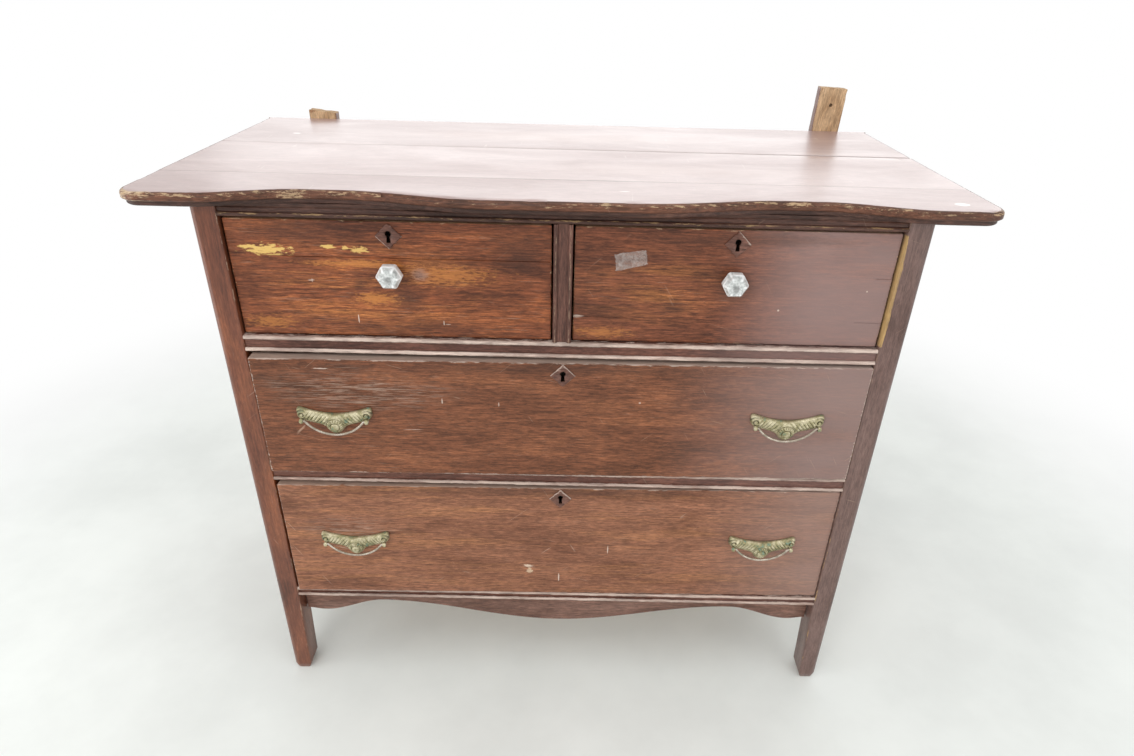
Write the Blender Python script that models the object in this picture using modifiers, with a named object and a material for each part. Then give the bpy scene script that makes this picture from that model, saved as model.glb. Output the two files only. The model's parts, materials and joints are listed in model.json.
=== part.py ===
# Dresser with a serpentine top, two short drawers over two long ones, and two sawn-off mirror posts.
# Metres, +Z up. The front faces -Y and the origin is on the floor, under the middle of the object.

import math

import bmesh
import bpy
from mathutils import Matrix, Vector

# Gap left between two pieces that touch
CLEARANCE = 0.0003

# Case
CASE_WIDTH = 0.940
CASE_DEPTH = 0.486
LEG_HEIGHT = 0.180
POST_WIDTH = 0.035
POST_DEPTH = 0.040
POST_ROUND = 0.010
LEG_TAPER = 0.006
FOOT_CHAMFER_IN = 0.003
FOOT_CHAMFER_HEIGHT = 0.009
SLIVER_WIDTH = 0.005
SLIVER_DEPTH = 0.010
SIDE_PANEL_THICKNESS = 0.010
SIDE_PANEL_INSET = 0.008
BACK_PANEL_THICKNESS = 0.008
BACK_PANEL_INSET = 0.008
DUST_PANEL_THICKNESS = 0.010

# Front rails, from the floor up, with the drawer openings between them
BOTTOM_RAIL_HEIGHT = 0.018
BOTTOM_OPENING = 0.223
DRAWER_RAIL_HEIGHT = 0.024
MIDDLE_OPENING = 0.196
TOP_OPENING = 0.166
FRIEZE_HEIGHT = 0.018
FRIEZE_DEPTH = 0.022
RAIL_DEPTH = 0.060
BEAD_RADIUS = 0.003
BEAD_PROUD = 0.001
FIELD_SET_BACK = 0.003
FRIEZE_GROOVE = 0.0012
DIVIDER_WIDTH = 0.025
DIVIDER_DEPTH = 0.030
PARTITION_THICKNESS = 0.018

# Apron under the bottom rail, as drops below that rail
APRON_THICKNESS = 0.018
APRON_SET_BACK = 0.023
APRON_CENTRE_DROP = 0.069
APRON_ARCH_DROP = 0.031
APRON_LOBE_DROP = 0.056
APRON_END_DROP = 0.052
APRON_LOBE_LENGTH = 0.030
APRON_RISE_LENGTH = 0.105

# Top, three boards side by side
TOP_THICKNESS = 0.018
TOP_SIDE_OVERHANG = 0.072
TOP_FRONT_OVERHANG = 0.031
TOP_DIP_DEPTH = 0.028
TOP_DIP_LENGTH = 0.040
TOP_BOW_LENGTH = 0.190
TOP_OUTER_SWEEP = 0.145
TOP_WING_LENGTH = 0.077
TOP_CORNER_RADIUS = 0.028
TOP_FRONT_BOARD = 0.111
TOP_MIDDLE_BOARD = 0.193
TOP_LIP_HEIGHT = 0.012
TOP_LIP_ROUND = 0.005
TOP_FILLET_STEP = 0.005

# Mirror posts, screwed behind the case and sawn off above the top
MIRROR_POST_WIDTH = 0.048
MIRROR_POST_THICKNESS = 0.020
MIRROR_POST_BELOW = 0.300
MIRROR_RIGHT_ABOVE = 0.074
MIRROR_LEFT_ABOVE = 0.013
MIRROR_RIGHT_INSET = 0.002
MIRROR_LEFT_INSET = 0.026
MIRROR_RIGHT_LEAN = math.radians(2.8)
MIRROR_LEFT_SAW = math.radians(6.0)
MIRROR_HOLE_RADIUS = 0.0032
MIRROR_HOLE_DROP = 0.029

# Drawers
SHORT_DRAWER_SIDE_GAP = 0.002
LONG_DRAWER_SIDE_GAP = 0.003
DRAWER_TOP_GAP = 0.0035
DRAWER_BOTTOM_GAP = 0.0017
DRAWER_FRONT_THICKNESS = 0.020
DRAWER_FRONT_EASE = 0.002
DRAWER_BOARD = 0.012
DRAWER_SIDE_INSET = 0.001
DRAWER_SIDE_DROP = 0.012
DRAWER_BACK_DROP = 0.020
DRAWER_BOTTOM_THICKNESS = 0.006
DRAWER_BOTTOM_RAISE = 0.008
DRAWER_GROOVE = 0.005
DRAWER_REAR_GAP = 0.014
TOP_DRAWER_RECESS = 0.006
MIDDLE_DRAWER_PROUD = 0.008
BOTTOM_DRAWER_PROUD = 0.002

# Keyholes, their diamond plates and the locks behind them
KEY_DROP = 0.019
KEY_ROUND_RADIUS = 0.0034
KEY_SLOT_WIDTH = 0.0038
KEY_SLOT_LENGTH = 0.0115
KEY_SLOT_FLARE = 0.0010
ESCUTCHEON_HALF = 0.0175
ESCUTCHEON_THICKNESS = 0.0016
LOCK_WIDTH = 0.058
LOCK_HEIGHT = 0.038
LOCK_DEPTH = 0.009
LOCK_BELOW_KEY = 0.005
LOCK_KEY_DEPTH = 0.005

# Hexagonal glass knobs
KNOB_RADIUS = 0.0175
KNOB_LENGTH = 0.026
KNOB_NECK_RADIUS = 0.0085
KNOB_NECK_LENGTH = 0.006
KNOB_FACE_RADIUS = 0.0100
KNOB_CROWN = 0.006
KNOB_BAND = 0.007
KNOB_RAISE = 0.013

# Cast pulls: a crescent plate with a shell in its middle, a volute at each end and a hinged bail under it
PULL_INSET = 0.1085
PULL_RAISE = 0.001
PULL_HALF_LENGTH = 0.053
PULL_HALF_HEIGHT = 0.010
PULL_RELIEF = 0.008
PULL_SAG = 0.0125
PULL_TIP_LENGTH = 0.0075
PULL_TIP_SHARE = 0.35
SHELL_HALF_WIDTH = 0.0117
SHELL_EXTRA_HEIGHT = 0.006
SHELL_EXTRA_RELIEF = 0.005
VOLUTE_HALF_WIDTH = 0.0085
VOLUTE_EXTRA_RELIEF = 0.002
EAR_INSET = 0.007
EAR_THICKNESS = 0.005
EAR_WALL = 0.002
BAIL_WIRE_RADIUS = 0.0017
BAIL_AXIS_RAISE = 0.001
BAIL_BELOW_SHELL = 0.0007
BAIL_SHOULDER = 0.002
BAIL_PIN_RUN = 0.0035

# Facets on the round and curved shapes
BEAD_FACETS = 6
CORNER_FACETS = 4
TOP_CORNER_FACETS = 6
TOP_SWEEP_FACETS = 10
KEYHOLE_FACETS = 12
PULL_SLICES = 20
PULL_SECTION_FACETS = 8
EAR_FACETS = 8
ROUND_FACETS = 16
BAIL_FACETS = 14

# Levels and planes that follow from the sizes above
BOTTOM_RAIL_TOP = LEG_HEIGHT + BOTTOM_RAIL_HEIGHT
MIDDLE_RAIL_BASE = BOTTOM_RAIL_TOP + BOTTOM_OPENING
MIDDLE_RAIL_TOP = MIDDLE_RAIL_BASE + DRAWER_RAIL_HEIGHT
UPPER_RAIL_BASE = MIDDLE_RAIL_TOP + MIDDLE_OPENING
UPPER_RAIL_TOP = UPPER_RAIL_BASE + DRAWER_RAIL_HEIGHT
FRIEZE_BASE = UPPER_RAIL_TOP + TOP_OPENING
TOP_UNDERSIDE = FRIEZE_BASE + FRIEZE_HEIGHT
TOP_SURFACE = TOP_UNDERSIDE + TOP_THICKNESS
CASE_TOP = TOP_UNDERSIDE - CLEARANCE
POST_INNER = CASE_WIDTH / 2 - POST_WIDTH
RAIL_HALF = POST_INNER - CLEARANCE
BACK_PANEL_FRONT = CASE_DEPTH - BACK_PANEL_INSET - BACK_PANEL_THICKNESS
PANEL_BASE = LEG_HEIGHT - APRON_ARCH_DROP
MIRROR_BACK = CASE_DEPTH + CLEARANCE + MIRROR_POST_THICKNESS
FRONT_Y = (TOP_FRONT_OVERHANG - MIRROR_BACK) / 2
EAR_SPREAD = PULL_HALF_LENGTH - EAR_INSET
EAR_RADIUS = BAIL_WIRE_RADIUS + CLEARANCE + EAR_WALL
SHELL_BASE = -PULL_HALF_HEIGHT - 2 * SHELL_EXTRA_HEIGHT
BAIL_AXIS_PROUD = PULL_RELIEF + VOLUTE_EXTRA_RELIEF
BAIL_DROP = BAIL_AXIS_RAISE - SHELL_BASE + BAIL_BELOW_SHELL - BAIL_WIRE_RADIUS

# Colour, roughness and metallic value of each finish
STAINED_WOOD = ((0.190, 0.072, 0.042, 1.0), 0.38, 0.0)
WORN_TOP_WOOD = ((0.260, 0.120, 0.085, 1.0), 0.30, 0.0)
LINING_WOOD = ((0.420, 0.280, 0.160, 1.0), 0.70, 0.0)
RAW_WOOD = ((0.460, 0.290, 0.150, 1.0), 0.75, 0.0)
AGED_BRASS = ((0.270, 0.230, 0.120, 1.0), 0.48, 1.0)
RUBBED_BRASS = ((0.540, 0.460, 0.310, 1.0), 0.30, 1.0)
PRESSED_GLASS = ((0.880, 0.920, 0.910, 1.0), 0.06, 0.0)
LOCK_IRON = ((0.120, 0.110, 0.100, 1.0), 0.60, 0.9)

# Turns an outline drawn flat so that it is pushed out along X, or along Y
ALONG_X = Matrix(((0, 0, 1), (1, 0, 0), (0, 1, 0))).to_euler()
ALONG_Y = Matrix.Rotation(math.pi / 2, 3, "X").to_euler()
ALONG_Z = Matrix.Identity(3).to_euler()

for old_object in list(bpy.data.objects):
    bpy.data.objects.remove(old_object, do_unlink=True)

parts = bpy.data.collections.new("dresser")
cutters = bpy.data.collections.new("dresser_cutters")
bpy.context.scene.collection.children.link(parts)
bpy.context.scene.collection.children.link(cutters)


# Small modelling helpers

def give_finish(piece, finish):
    colour, roughness, metallic = finish
    material = bpy.data.materials.new(piece.name + "_finish")
    material.use_nodes = True
    shader = material.node_tree.nodes["Principled BSDF"]
    shader.inputs["Base Color"].default_value = colour
    shader.inputs["Roughness"].default_value = roughness
    shader.inputs["Metallic"].default_value = metallic
    piece.data.materials.clear()
    piece.data.materials.append(material)


def add_anchor(name, location, parent=None):
    anchor = bpy.data.objects.new(name, None)
    anchor.location = location
    anchor.parent = parent
    parts.objects.link(anchor)
    return anchor


def add_piece(name, data, parent, location, finish):
    piece = bpy.data.objects.new(name, data)
    piece.parent = parent
    piece.location = location
    if finish is None:
        piece.hide_render = True
        piece.display_type = "WIRE"
        cutters.objects.link(piece)
    else:
        parts.objects.link(piece)
        give_finish(piece, finish)
    return piece


def mesh_from(shape, name):
    bmesh.ops.recalc_face_normals(shape, faces=shape.faces)
    mesh = bpy.data.meshes.new(name)
    shape.to_mesh(mesh)
    shape.free()
    return mesh


def board(name, parent, low, high, finish):
    low = Vector(low)
    high = Vector(high)
    shape = bmesh.new()
    bmesh.ops.create_cube(shape, size=1.0)
    bmesh.ops.scale(shape, vec=high - low, verts=shape.verts)
    return add_piece(name, mesh_from(shape, name), parent, (low + high) / 2, finish)


def cylinder(name, parent, radius, length, centre, turn, finish):
    shape = bmesh.new()
    bmesh.ops.create_cone(
        shape, cap_ends=True, segments=ROUND_FACETS, radius1=radius, radius2=radius, depth=length)
    piece = add_piece(name, mesh_from(shape, name), parent, centre, finish)
    piece.rotation_euler = turn
    return piece


def extruded(name, parent, outline, thickness, centre, turn, finish):
    # A flat outline pushed out both ways, then welded into one closed mesh
    curve = bpy.data.curves.new(name + "_outline", "CURVE")
    curve.dimensions = "2D"
    curve.fill_mode = "BOTH"
    curve.extrude = thickness / 2
    spline = curve.splines.new("POLY")
    spline.points.add(len(outline) - 1)
    spline.use_cyclic_u = True
    for point, (across, up) in zip(spline.points, outline):
        point.co = (across, up, 0.0, 1.0)
    drawn = bpy.data.objects.new(name + "_drawn", curve)
    parts.objects.link(drawn)
    graph = bpy.context.evaluated_depsgraph_get()
    mesh = bpy.data.meshes.new_from_object(drawn.evaluated_get(graph))
    mesh.name = name
    shape = bmesh.new()
    shape.from_mesh(mesh)
    bmesh.ops.remove_doubles(shape, verts=shape.verts, dist=0.00001)
    bmesh.ops.recalc_face_normals(shape, faces=shape.faces)
    shape.to_mesh(mesh)
    shape.free()
    bpy.data.objects.remove(drawn, do_unlink=True)
    piece = add_piece(name, mesh, parent, centre, finish)
    piece.rotation_euler = turn
    return piece


def lofted(name, parent, rings, centre, finish):
    # Rings of as many points each, skinned in order and closed at both ends
    shape = bmesh.new()
    rows = [[shape.verts.new(point) for point in ring] for ring in rings]
    for row, following in zip(rows, rows[1:]):
        for index in range(len(row)):
            neighbour = (index + 1) % len(row)
            shape.faces.new((row[index], row[neighbour], following[neighbour], following[index]))
    shape.faces.new(rows[0])
    shape.faces.new(rows[-1])
    return add_piece(name, mesh_from(shape, name), parent, centre, finish)


def carve(piece, cutter, operation="DIFFERENCE"):
    boolean = piece.modifiers.new(cutter.name, "BOOLEAN")
    boolean.operation = operation
    boolean.object = cutter
    boolean.solver = "EXACT"


def ease_edges(piece, width):
    bevel = piece.modifiers.new("eased edges", "BEVEL")
    bevel.width = width
    bevel.segments = 2
    bevel.limit_method = "ANGLE"


def smooth_round(piece, sharp_degrees):
    piece.data.shade_smooth()
    piece.data.set_sharp_from_angle(angle=math.radians(sharp_degrees))


def arc(centre, radius, start_degrees, end_degrees, steps):
    points = []
    for step in range(steps + 1):
        angle = math.radians(start_degrees + (end_degrees - start_degrees) * step / steps)
        points.append((centre[0] + radius * math.cos(angle), centre[1] + radius * math.sin(angle)))
    return points


def sweep(start, end, share):
    # An S-curve from one value to another
    return start + (end - start) * (1 - math.cos(math.pi * share)) / 2


# Posts that run down into the legs

def post_ring(height, side, front, inset, taper):
    inner = POST_INNER + inset + taper
    outer = CASE_WIDTH / 2 - inset
    near = inset
    far = POST_DEPTH - inset
    corner = POST_ROUND - inset
    ring = [(inner, near)]
    ring += arc((outer - corner, near + corner), corner, -90, 0, CORNER_FACETS)
    ring += [(outer, far), (inner, far)]
    if not front:
        ring = [(across, CASE_DEPTH - depth) for across, depth in ring]
    return [(side * across, depth, height) for across, depth in ring]


def build_post(name, side, front):
    chamfer_taper = LEG_TAPER * (1 - FOOT_CHAMFER_HEIGHT / LEG_HEIGHT)
    rings = [
        post_ring(0.0, side, front, FOOT_CHAMFER_IN, LEG_TAPER),
        post_ring(FOOT_CHAMFER_HEIGHT, side, front, 0.0, chamfer_taper),
        post_ring(LEG_HEIGHT, side, front, 0.0, 0.0),
        post_ring(CASE_TOP, side, front, 0.0, 0.0),
    ]
    piece = lofted(name, case, rings, (0, 0, 0), STAINED_WOOD)
    smooth_round(piece, 30)
    return piece


def build_posts():
    build_post("front_post_left", -1, True)
    right = build_post("front_post_right", 1, True)
    build_post("rear_post_left", -1, False)
    build_post("rear_post_right", 1, False)
    # A sliver split off the inner arris beside the top right drawer
    past = SLIVER_WIDTH / 2
    slope = SLIVER_DEPTH / SLIVER_WIDTH
    outline = [
        (POST_INNER - past, -past * slope),
        (POST_INNER + SLIVER_WIDTH + past, -past * slope),
        (POST_INNER - past, SLIVER_DEPTH + past * slope),
    ]
    middle = (UPPER_RAIL_TOP + FRIEZE_BASE) / 2
    cutter = extruded(
        "sliver_cutter", case, outline, TOP_OPENING, (0, 0, middle), ALONG_Z, None)
    carve(right, cutter)


# Panels between the posts

def build_panels():
    panel_outer = CASE_WIDTH / 2 - SIDE_PANEL_INSET
    panel_inner = panel_outer - SIDE_PANEL_THICKNESS
    panel_front = POST_DEPTH + CLEARANCE
    panel_back = CASE_DEPTH - POST_DEPTH - CLEARANCE
    board("side_panel_left", case, (-panel_outer, panel_front, PANEL_BASE),
          (-panel_inner, panel_back, CASE_TOP), STAINED_WOOD)
    board("side_panel_right", case, (panel_inner, panel_front, PANEL_BASE),
          (panel_outer, panel_back, CASE_TOP), STAINED_WOOD)
    board("back_panel", case, (-RAIL_HALF, BACK_PANEL_FRONT, PANEL_BASE),
          (RAIL_HALF, BACK_PANEL_FRONT + BACK_PANEL_THICKNESS, CASE_TOP), LINING_WOOD)
    dust_levels = {
        "dust_panel_upper": UPPER_RAIL_TOP,
        "dust_panel_middle": MIDDLE_RAIL_TOP,
        "dust_panel_bottom": BOTTOM_RAIL_TOP,
    }
    for name, level in dust_levels.items():
        board(name, case, (-RAIL_HALF, RAIL_DEPTH + CLEARANCE, level - DUST_PANEL_THICKNESS),
              (RAIL_HALF, BACK_PANEL_FRONT - CLEARANCE, level), LINING_WOOD)


# Rails across the front, with a bead along each edge

def bead(level):
    # Half round that faces the front, from its lower edge up
    centre = (BEAD_RADIUS - BEAD_PROUD, level)
    return arc(centre, BEAD_RADIUS, 270, 90, BEAD_FACETS)


def build_rail(name, base, height):
    outline = [(RAIL_DEPTH, 0.0)]
    outline += bead(BEAD_RADIUS)
    outline += [(FIELD_SET_BACK, 2 * BEAD_RADIUS), (FIELD_SET_BACK, height - 2 * BEAD_RADIUS)]
    outline += bead(height - BEAD_RADIUS)
    outline += [(RAIL_DEPTH, height)]
    rail = extruded(name, case, outline, 2 * RAIL_HALF, (0, 0, base), ALONG_X, STAINED_WOOD)
    smooth_round(rail, 40)


def build_frieze():
    height = FRIEZE_HEIGHT - CLEARANCE
    field_low = 2 * BEAD_RADIUS
    groove = (field_low + height) / 2
    back = FIELD_SET_BACK + FRIEZE_DEPTH
    outline = [(back, 0.0)]
    outline += bead(BEAD_RADIUS)
    outline += [
        (FIELD_SET_BACK, field_low),
        (FIELD_SET_BACK, groove - FRIEZE_GROOVE),
        (FIELD_SET_BACK + FRIEZE_GROOVE, groove),
        (FIELD_SET_BACK, groove + FRIEZE_GROOVE),
        (FIELD_SET_BACK, height),
        (back, height),
    ]
    frieze = extruded("frieze_rail", case, outline, 2 * RAIL_HALF, (0, 0, FRIEZE_BASE),
                      ALONG_X, STAINED_WOOD)
    smooth_round(frieze, 40)


def build_divider():
    # Beaded upright between the top drawers, with the partition behind it
    edge = DIVIDER_WIDTH / 2
    skin = PARTITION_THICKNESS / 2
    bead_middle = edge - BEAD_RADIUS
    bead_level = BEAD_RADIUS - BEAD_PROUD
    field_edge = bead_middle - BEAD_RADIUS
    outline = arc((-bead_middle, bead_level), BEAD_RADIUS, 180, 360, BEAD_FACETS)
    outline += [(-field_edge, FIELD_SET_BACK), (field_edge, FIELD_SET_BACK)]
    outline += arc((bead_middle, bead_level), BEAD_RADIUS, 180, 360, BEAD_FACETS)
    outline += [
        (edge, DIVIDER_DEPTH),
        (skin, DIVIDER_DEPTH),
        (skin, BACK_PANEL_FRONT - CLEARANCE),
        (-skin, BACK_PANEL_FRONT - CLEARANCE),
        (-skin, DIVIDER_DEPTH),
        (-edge, DIVIDER_DEPTH),
    ]
    middle = (UPPER_RAIL_TOP + FRIEZE_BASE) / 2
    divider = extruded("centre_divider", case, outline, TOP_OPENING - 2 * CLEARANCE,
                       (0, 0, middle), ALONG_Z, STAINED_WOOD)
    smooth_round(divider, 40)


def build_apron():
    # Lower edge of the right half, from the middle out: centre, arch, lobe, end
    arch = RAIL_HALF - APRON_LOBE_LENGTH - APRON_RISE_LENGTH
    lobe = RAIL_HALF - APRON_LOBE_LENGTH
    stretches = [
        (0.0, arch, APRON_CENTRE_DROP, APRON_ARCH_DROP, 12),
        (arch, lobe, APRON_ARCH_DROP, APRON_LOBE_DROP, 8),
        (lobe, RAIL_HALF, APRON_LOBE_DROP, APRON_END_DROP, 4),
    ]
    half = []
    for start, end, high, low, steps in stretches:
        for step in range(steps):
            share = step / steps
            half.append((start + (end - start) * share, -sweep(high, low, share)))
    half.append((RAIL_HALF, -APRON_END_DROP))
    upper = [(RAIL_HALF, -CLEARANCE), (-RAIL_HALF, -CLEARANCE)]
    mirrored = [(-across, up) for across, up in reversed(half[1:])]
    middle = APRON_SET_BACK + APRON_THICKNESS / 2
    extruded("apron", case, half + upper + mirrored, APRON_THICKNESS,
             (0, middle, LEG_HEIGHT), ALONG_Y, STAINED_WOOD)


# Serpentine top with a moulded edge

def top_half_edge():
    # Right half of the edge from the middle of the front to the back: place and outward direction
    half = CASE_WIDTH / 2 + TOP_SIDE_OVERHANG
    bow = TOP_BOW_LENGTH / 2
    wing = half - TOP_WING_LENGTH
    dip_end = wing - TOP_OUTER_SWEEP
    dip_start = dip_end - TOP_DIP_LENGTH
    out = -TOP_FRONT_OVERHANG
    dip = out + TOP_DIP_DEPTH
    steps = TOP_SWEEP_FACETS
    edge = [(0.0, out)]
    edge += [(bow + (dip_start - bow) * step / steps, sweep(out, dip, step / steps))
             for step in range(steps + 1)]
    edge += [(dip_end + (wing - dip_end) * step / steps, sweep(dip, out, step / steps))
             for step in range(steps + 1)]
    centre = (half - TOP_CORNER_RADIUS, out + TOP_CORNER_RADIUS)
    edge += arc(centre, TOP_CORNER_RADIUS, -90, 0, TOP_CORNER_FACETS)
    edge += [(half, CASE_DEPTH)]
    return edge


def top_ring(height, inset):
    edge = top_half_edge()
    ring = []
    for index, (across, depth) in enumerate(edge):
        before = Vector(edge[max(index - 1, 0)])
        after = Vector(edge[min(index + 1, len(edge) - 1)])
        along = (after - before).normalized()
        if index == 0:
            along = Vector((1.0, 0.0))
        ring.append((across - along.y * inset, depth + along.x * inset, height))
    ring[-1] = (edge[-1][0] - inset, CASE_DEPTH, height)
    mirrored = [(-across, depth, up) for across, depth, up in reversed(ring[1:])]
    return ring + mirrored


def build_top():
    # Moulding from the underside up: fillet, step, rounded lip
    fillet = TOP_THICKNESS - TOP_LIP_HEIGHT
    profile = [
        (0.0, TOP_FILLET_STEP + fillet / 3),
        (fillet / 3, TOP_FILLET_STEP),
        (fillet, TOP_FILLET_STEP),
        (fillet + TOP_FILLET_STEP / 8, TOP_FILLET_STEP / 2),
        (fillet + TOP_FILLET_STEP / 2, 0.0),
        (TOP_THICKNESS - TOP_LIP_ROUND, 0.0),
        (TOP_THICKNESS - TOP_LIP_ROUND / 2, TOP_LIP_ROUND * (1 - math.cos(math.radians(30)))),
        (TOP_THICKNESS - TOP_LIP_ROUND * (1 - math.sin(math.radians(60))), TOP_LIP_ROUND / 2),
        (TOP_THICKNESS, TOP_LIP_ROUND),
    ]
    rings = [top_ring(height, inset) for height, inset in profile]
    joint_one = TOP_FRONT_BOARD - TOP_FRONT_OVERHANG
    joint_two = joint_one + TOP_MIDDLE_BOARD
    half = CASE_WIDTH / 2 + TOP_SIDE_OVERHANG
    seam = CLEARANCE / 2
    past = TOP_FRONT_OVERHANG
    spans = {
        "top_board_front": (-TOP_FRONT_OVERHANG - past, joint_one - seam),
        "top_board_middle": (joint_one + seam, joint_two - seam),
        "top_board_back": (joint_two + seam, CASE_DEPTH + past),
    }
    for name, (near, far) in spans.items():
        piece = lofted(name, case, rings, (0, 0, TOP_UNDERSIDE), WORN_TOP_WOOD)
        keeper = board(name + "_keeper", case, (-half - past, near, TOP_UNDERSIDE - past),
                       (half + past, far, TOP_SURFACE + past), None)
        carve(piece, keeper, "INTERSECT")


# Mirror posts

def build_mirror_post(name, across, above, lean, saw):
    half = MIRROR_POST_WIDTH / 2
    rise = half * math.tan(saw)
    outline = [
        (-half, -MIRROR_POST_BELOW),
        (half, -MIRROR_POST_BELOW),
        (half, above - rise),
        (-half, above + rise),
    ]
    middle = CASE_DEPTH + CLEARANCE + MIRROR_POST_THICKNESS / 2
    stand = add_anchor(name + "_stand", (across, middle, TOP_SURFACE), case)
    stand.rotation_euler = (0, lean, 0)
    return extruded(name, stand, outline, MIRROR_POST_THICKNESS, (0, 0, 0), ALONG_Y, RAW_WOOD)


def build_mirror_posts():
    left = MIRROR_LEFT_INSET - CASE_WIDTH / 2
    right = CASE_WIDTH / 2 - MIRROR_RIGHT_INSET
    build_mirror_post("mirror_post_left", left, MIRROR_LEFT_ABOVE, 0.0, MIRROR_LEFT_SAW)
    tall = build_mirror_post("mirror_post_right", right, MIRROR_RIGHT_ABOVE, MIRROR_RIGHT_LEAN, 0.0)
    hole = cylinder("mirror_hole_cutter", tall.parent, MIRROR_HOLE_RADIUS, 2 * MIRROR_POST_THICKNESS,
                    (0, 0, MIRROR_RIGHT_ABOVE - MIRROR_HOLE_DROP), ALONG_Y, None)
    carve(tall, hole)


# Drawers, each drawn about its own middle, with the rail it runs on at height zero

def build_drawer(name, left, right, base, opening, proud, side_gap, racked):
    middle = (left + right) / 2
    half = (right - left) / 2 - side_gap
    face = -proud
    behind = face + DRAWER_FRONT_THICKNESS
    rear = BACK_PANEL_FRONT - DRAWER_REAR_GAP
    top = opening - DRAWER_TOP_GAP
    # A racked drawer is turned about its middle until its corners meet the posts, left end out
    pivot = (face + rear) / 2
    swing = add_anchor(name + "_swing", (middle, pivot, base), case)
    if racked:
        swing.rotation_euler = (0, 0, math.asin((side_gap - CLEARANCE) / (rear - pivot)))
    slide = add_anchor(name + "_slide", (0, -pivot, 0), swing)
    front = board(name + "_front", slide, (-half, face, DRAWER_BOTTOM_GAP), (half, behind, top),
                  STAINED_WOOD)
    ease_edges(front, DRAWER_FRONT_EASE)
    build_drawer_box(name, slide, half - DRAWER_SIDE_INSET, behind + CLEARANCE, rear, top)
    build_lock(name, slide, front, face, top - KEY_DROP)
    return slide, face, top


def build_drawer_box(name, slide, outer, near, far, top):
    # Sides grooved for the bottom, which slides in under the back
    inner = outer - DRAWER_BOARD
    side_top = top - DRAWER_SIDE_DROP
    sheet_low = CLEARANCE + DRAWER_BOTTOM_RAISE
    sheet_high = sheet_low + DRAWER_BOTTOM_THICKNESS
    groove = inner + DRAWER_GROOVE
    outline = [
        (inner, CLEARANCE),
        (outer, CLEARANCE),
        (outer, side_top),
        (inner, side_top),
        (inner, sheet_high + CLEARANCE),
        (groove, sheet_high + CLEARANCE),
        (groove, sheet_low - CLEARANCE),
        (inner, sheet_low - CLEARANCE),
    ]
    mirrored = [(-across, up) for across, up in outline]
    centre = (0, (near + far) / 2, 0)
    extruded(name + "_left_side", slide, mirrored, far - near, centre, ALONG_Y, LINING_WOOD)
    extruded(name + "_right_side", slide, outline, far - near, centre, ALONG_Y, LINING_WOOD)
    between = inner - CLEARANCE
    board(name + "_back", slide, (-between, far - DRAWER_BOARD, sheet_high + CLEARANCE),
          (between, far, top - DRAWER_BACK_DROP), LINING_WOOD)
    reach = groove - CLEARANCE
    board(name + "_bottom", slide, (-reach, near, sheet_low), (reach, far, sheet_high), LINING_WOOD)


def build_lock(name, slide, front, face, key_level):
    # Diamond plate on the front, lock let into the back, one keyhole through all three
    plate_back = face - CLEARANCE
    plate_middle = plate_back - ESCUTCHEON_THICKNESS / 2
    diamond = [(0, -ESCUTCHEON_HALF), (ESCUTCHEON_HALF, 0), (0, ESCUTCHEON_HALF), (-ESCUTCHEON_HALF, 0)]
    plate = extruded(name + "_escutcheon", slide, diamond, ESCUTCHEON_THICKNESS,
                     (0, plate_middle, key_level), ALONG_Y, STAINED_WOOD)
    behind = face + DRAWER_FRONT_THICKNESS
    lock_top = key_level + LOCK_HEIGHT / 2 - LOCK_BELOW_KEY
    lock_low = (-LOCK_WIDTH / 2, behind - LOCK_DEPTH, lock_top - LOCK_HEIGHT)
    lock_high = (LOCK_WIDTH / 2, behind, lock_top)
    lock = board(name + "_lock", slide, lock_low, lock_high, LOCK_IRON)
    room = Vector((CLEARANCE, CLEARANCE, CLEARANCE))
    open_back = Vector((CLEARANCE, LOCK_DEPTH, CLEARANCE))
    pocket = board(name + "_lock_pocket", slide, Vector(lock_low) - room,
                   Vector(lock_high) + open_back, None)
    slot = KEY_SLOT_WIDTH / 2
    turn = math.degrees(math.acos(slot / KEY_ROUND_RADIUS))
    keyhole = arc((0, 0), KEY_ROUND_RADIUS, -turn, 180 + turn, KEYHOLE_FACETS)
    foot = slot + KEY_SLOT_FLARE
    keyhole += [(-foot, -KEY_SLOT_LENGTH), (foot, -KEY_SLOT_LENGTH)]
    outer = plate_back - 2 * ESCUTCHEON_THICKNESS
    inner = behind - LOCK_DEPTH + LOCK_KEY_DEPTH
    key_cutter = extruded(name + "_keyhole_cutter", slide, keyhole, inner - outer,
                          (0, (outer + inner) / 2, key_level), ALONG_Y, None)
    carve(front, pocket)
    for pierced in (front, plate, lock):
        carve(pierced, key_cutter)


def build_knob(name, slide, face, level):
    # Profile down the outer side of the knob, turned in six flats about its own axis
    shoulder = KNOB_LENGTH - KNOB_CROWN
    profile = [
        (0.0, KNOB_LENGTH),
        (KNOB_FACE_RADIUS, KNOB_LENGTH),
        (KNOB_RADIUS, shoulder),
        (KNOB_RADIUS, shoulder - KNOB_BAND),
        (KNOB_NECK_RADIUS, KNOB_NECK_LENGTH),
        (KNOB_NECK_RADIUS, CLEARANCE),
        (0.0, CLEARANCE),
    ]
    shape = bmesh.new()
    points = [shape.verts.new((radius, 0.0, height)) for radius, height in profile]
    for upper, lower in zip(points, points[1:]):
        shape.edges.new((upper, lower))
    mesh = bpy.data.meshes.new(name)
    shape.to_mesh(mesh)
    shape.free()
    knob = add_piece(name, mesh, slide, (0, face, level), PRESSED_GLASS)
    knob.rotation_euler = ALONG_Y
    screw = knob.modifiers.new("six flats", "SCREW")
    screw.axis = "Z"
    screw.angle = math.tau
    screw.steps = 6
    screw.render_steps = 6
    screw.use_merge_vertices = True
    screw.merge_threshold = 0.00001
    screw.use_smooth_shade = False


# Pulls

def swell(place, middle, width):
    return math.exp(-((place - middle) / width) ** 2)


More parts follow.
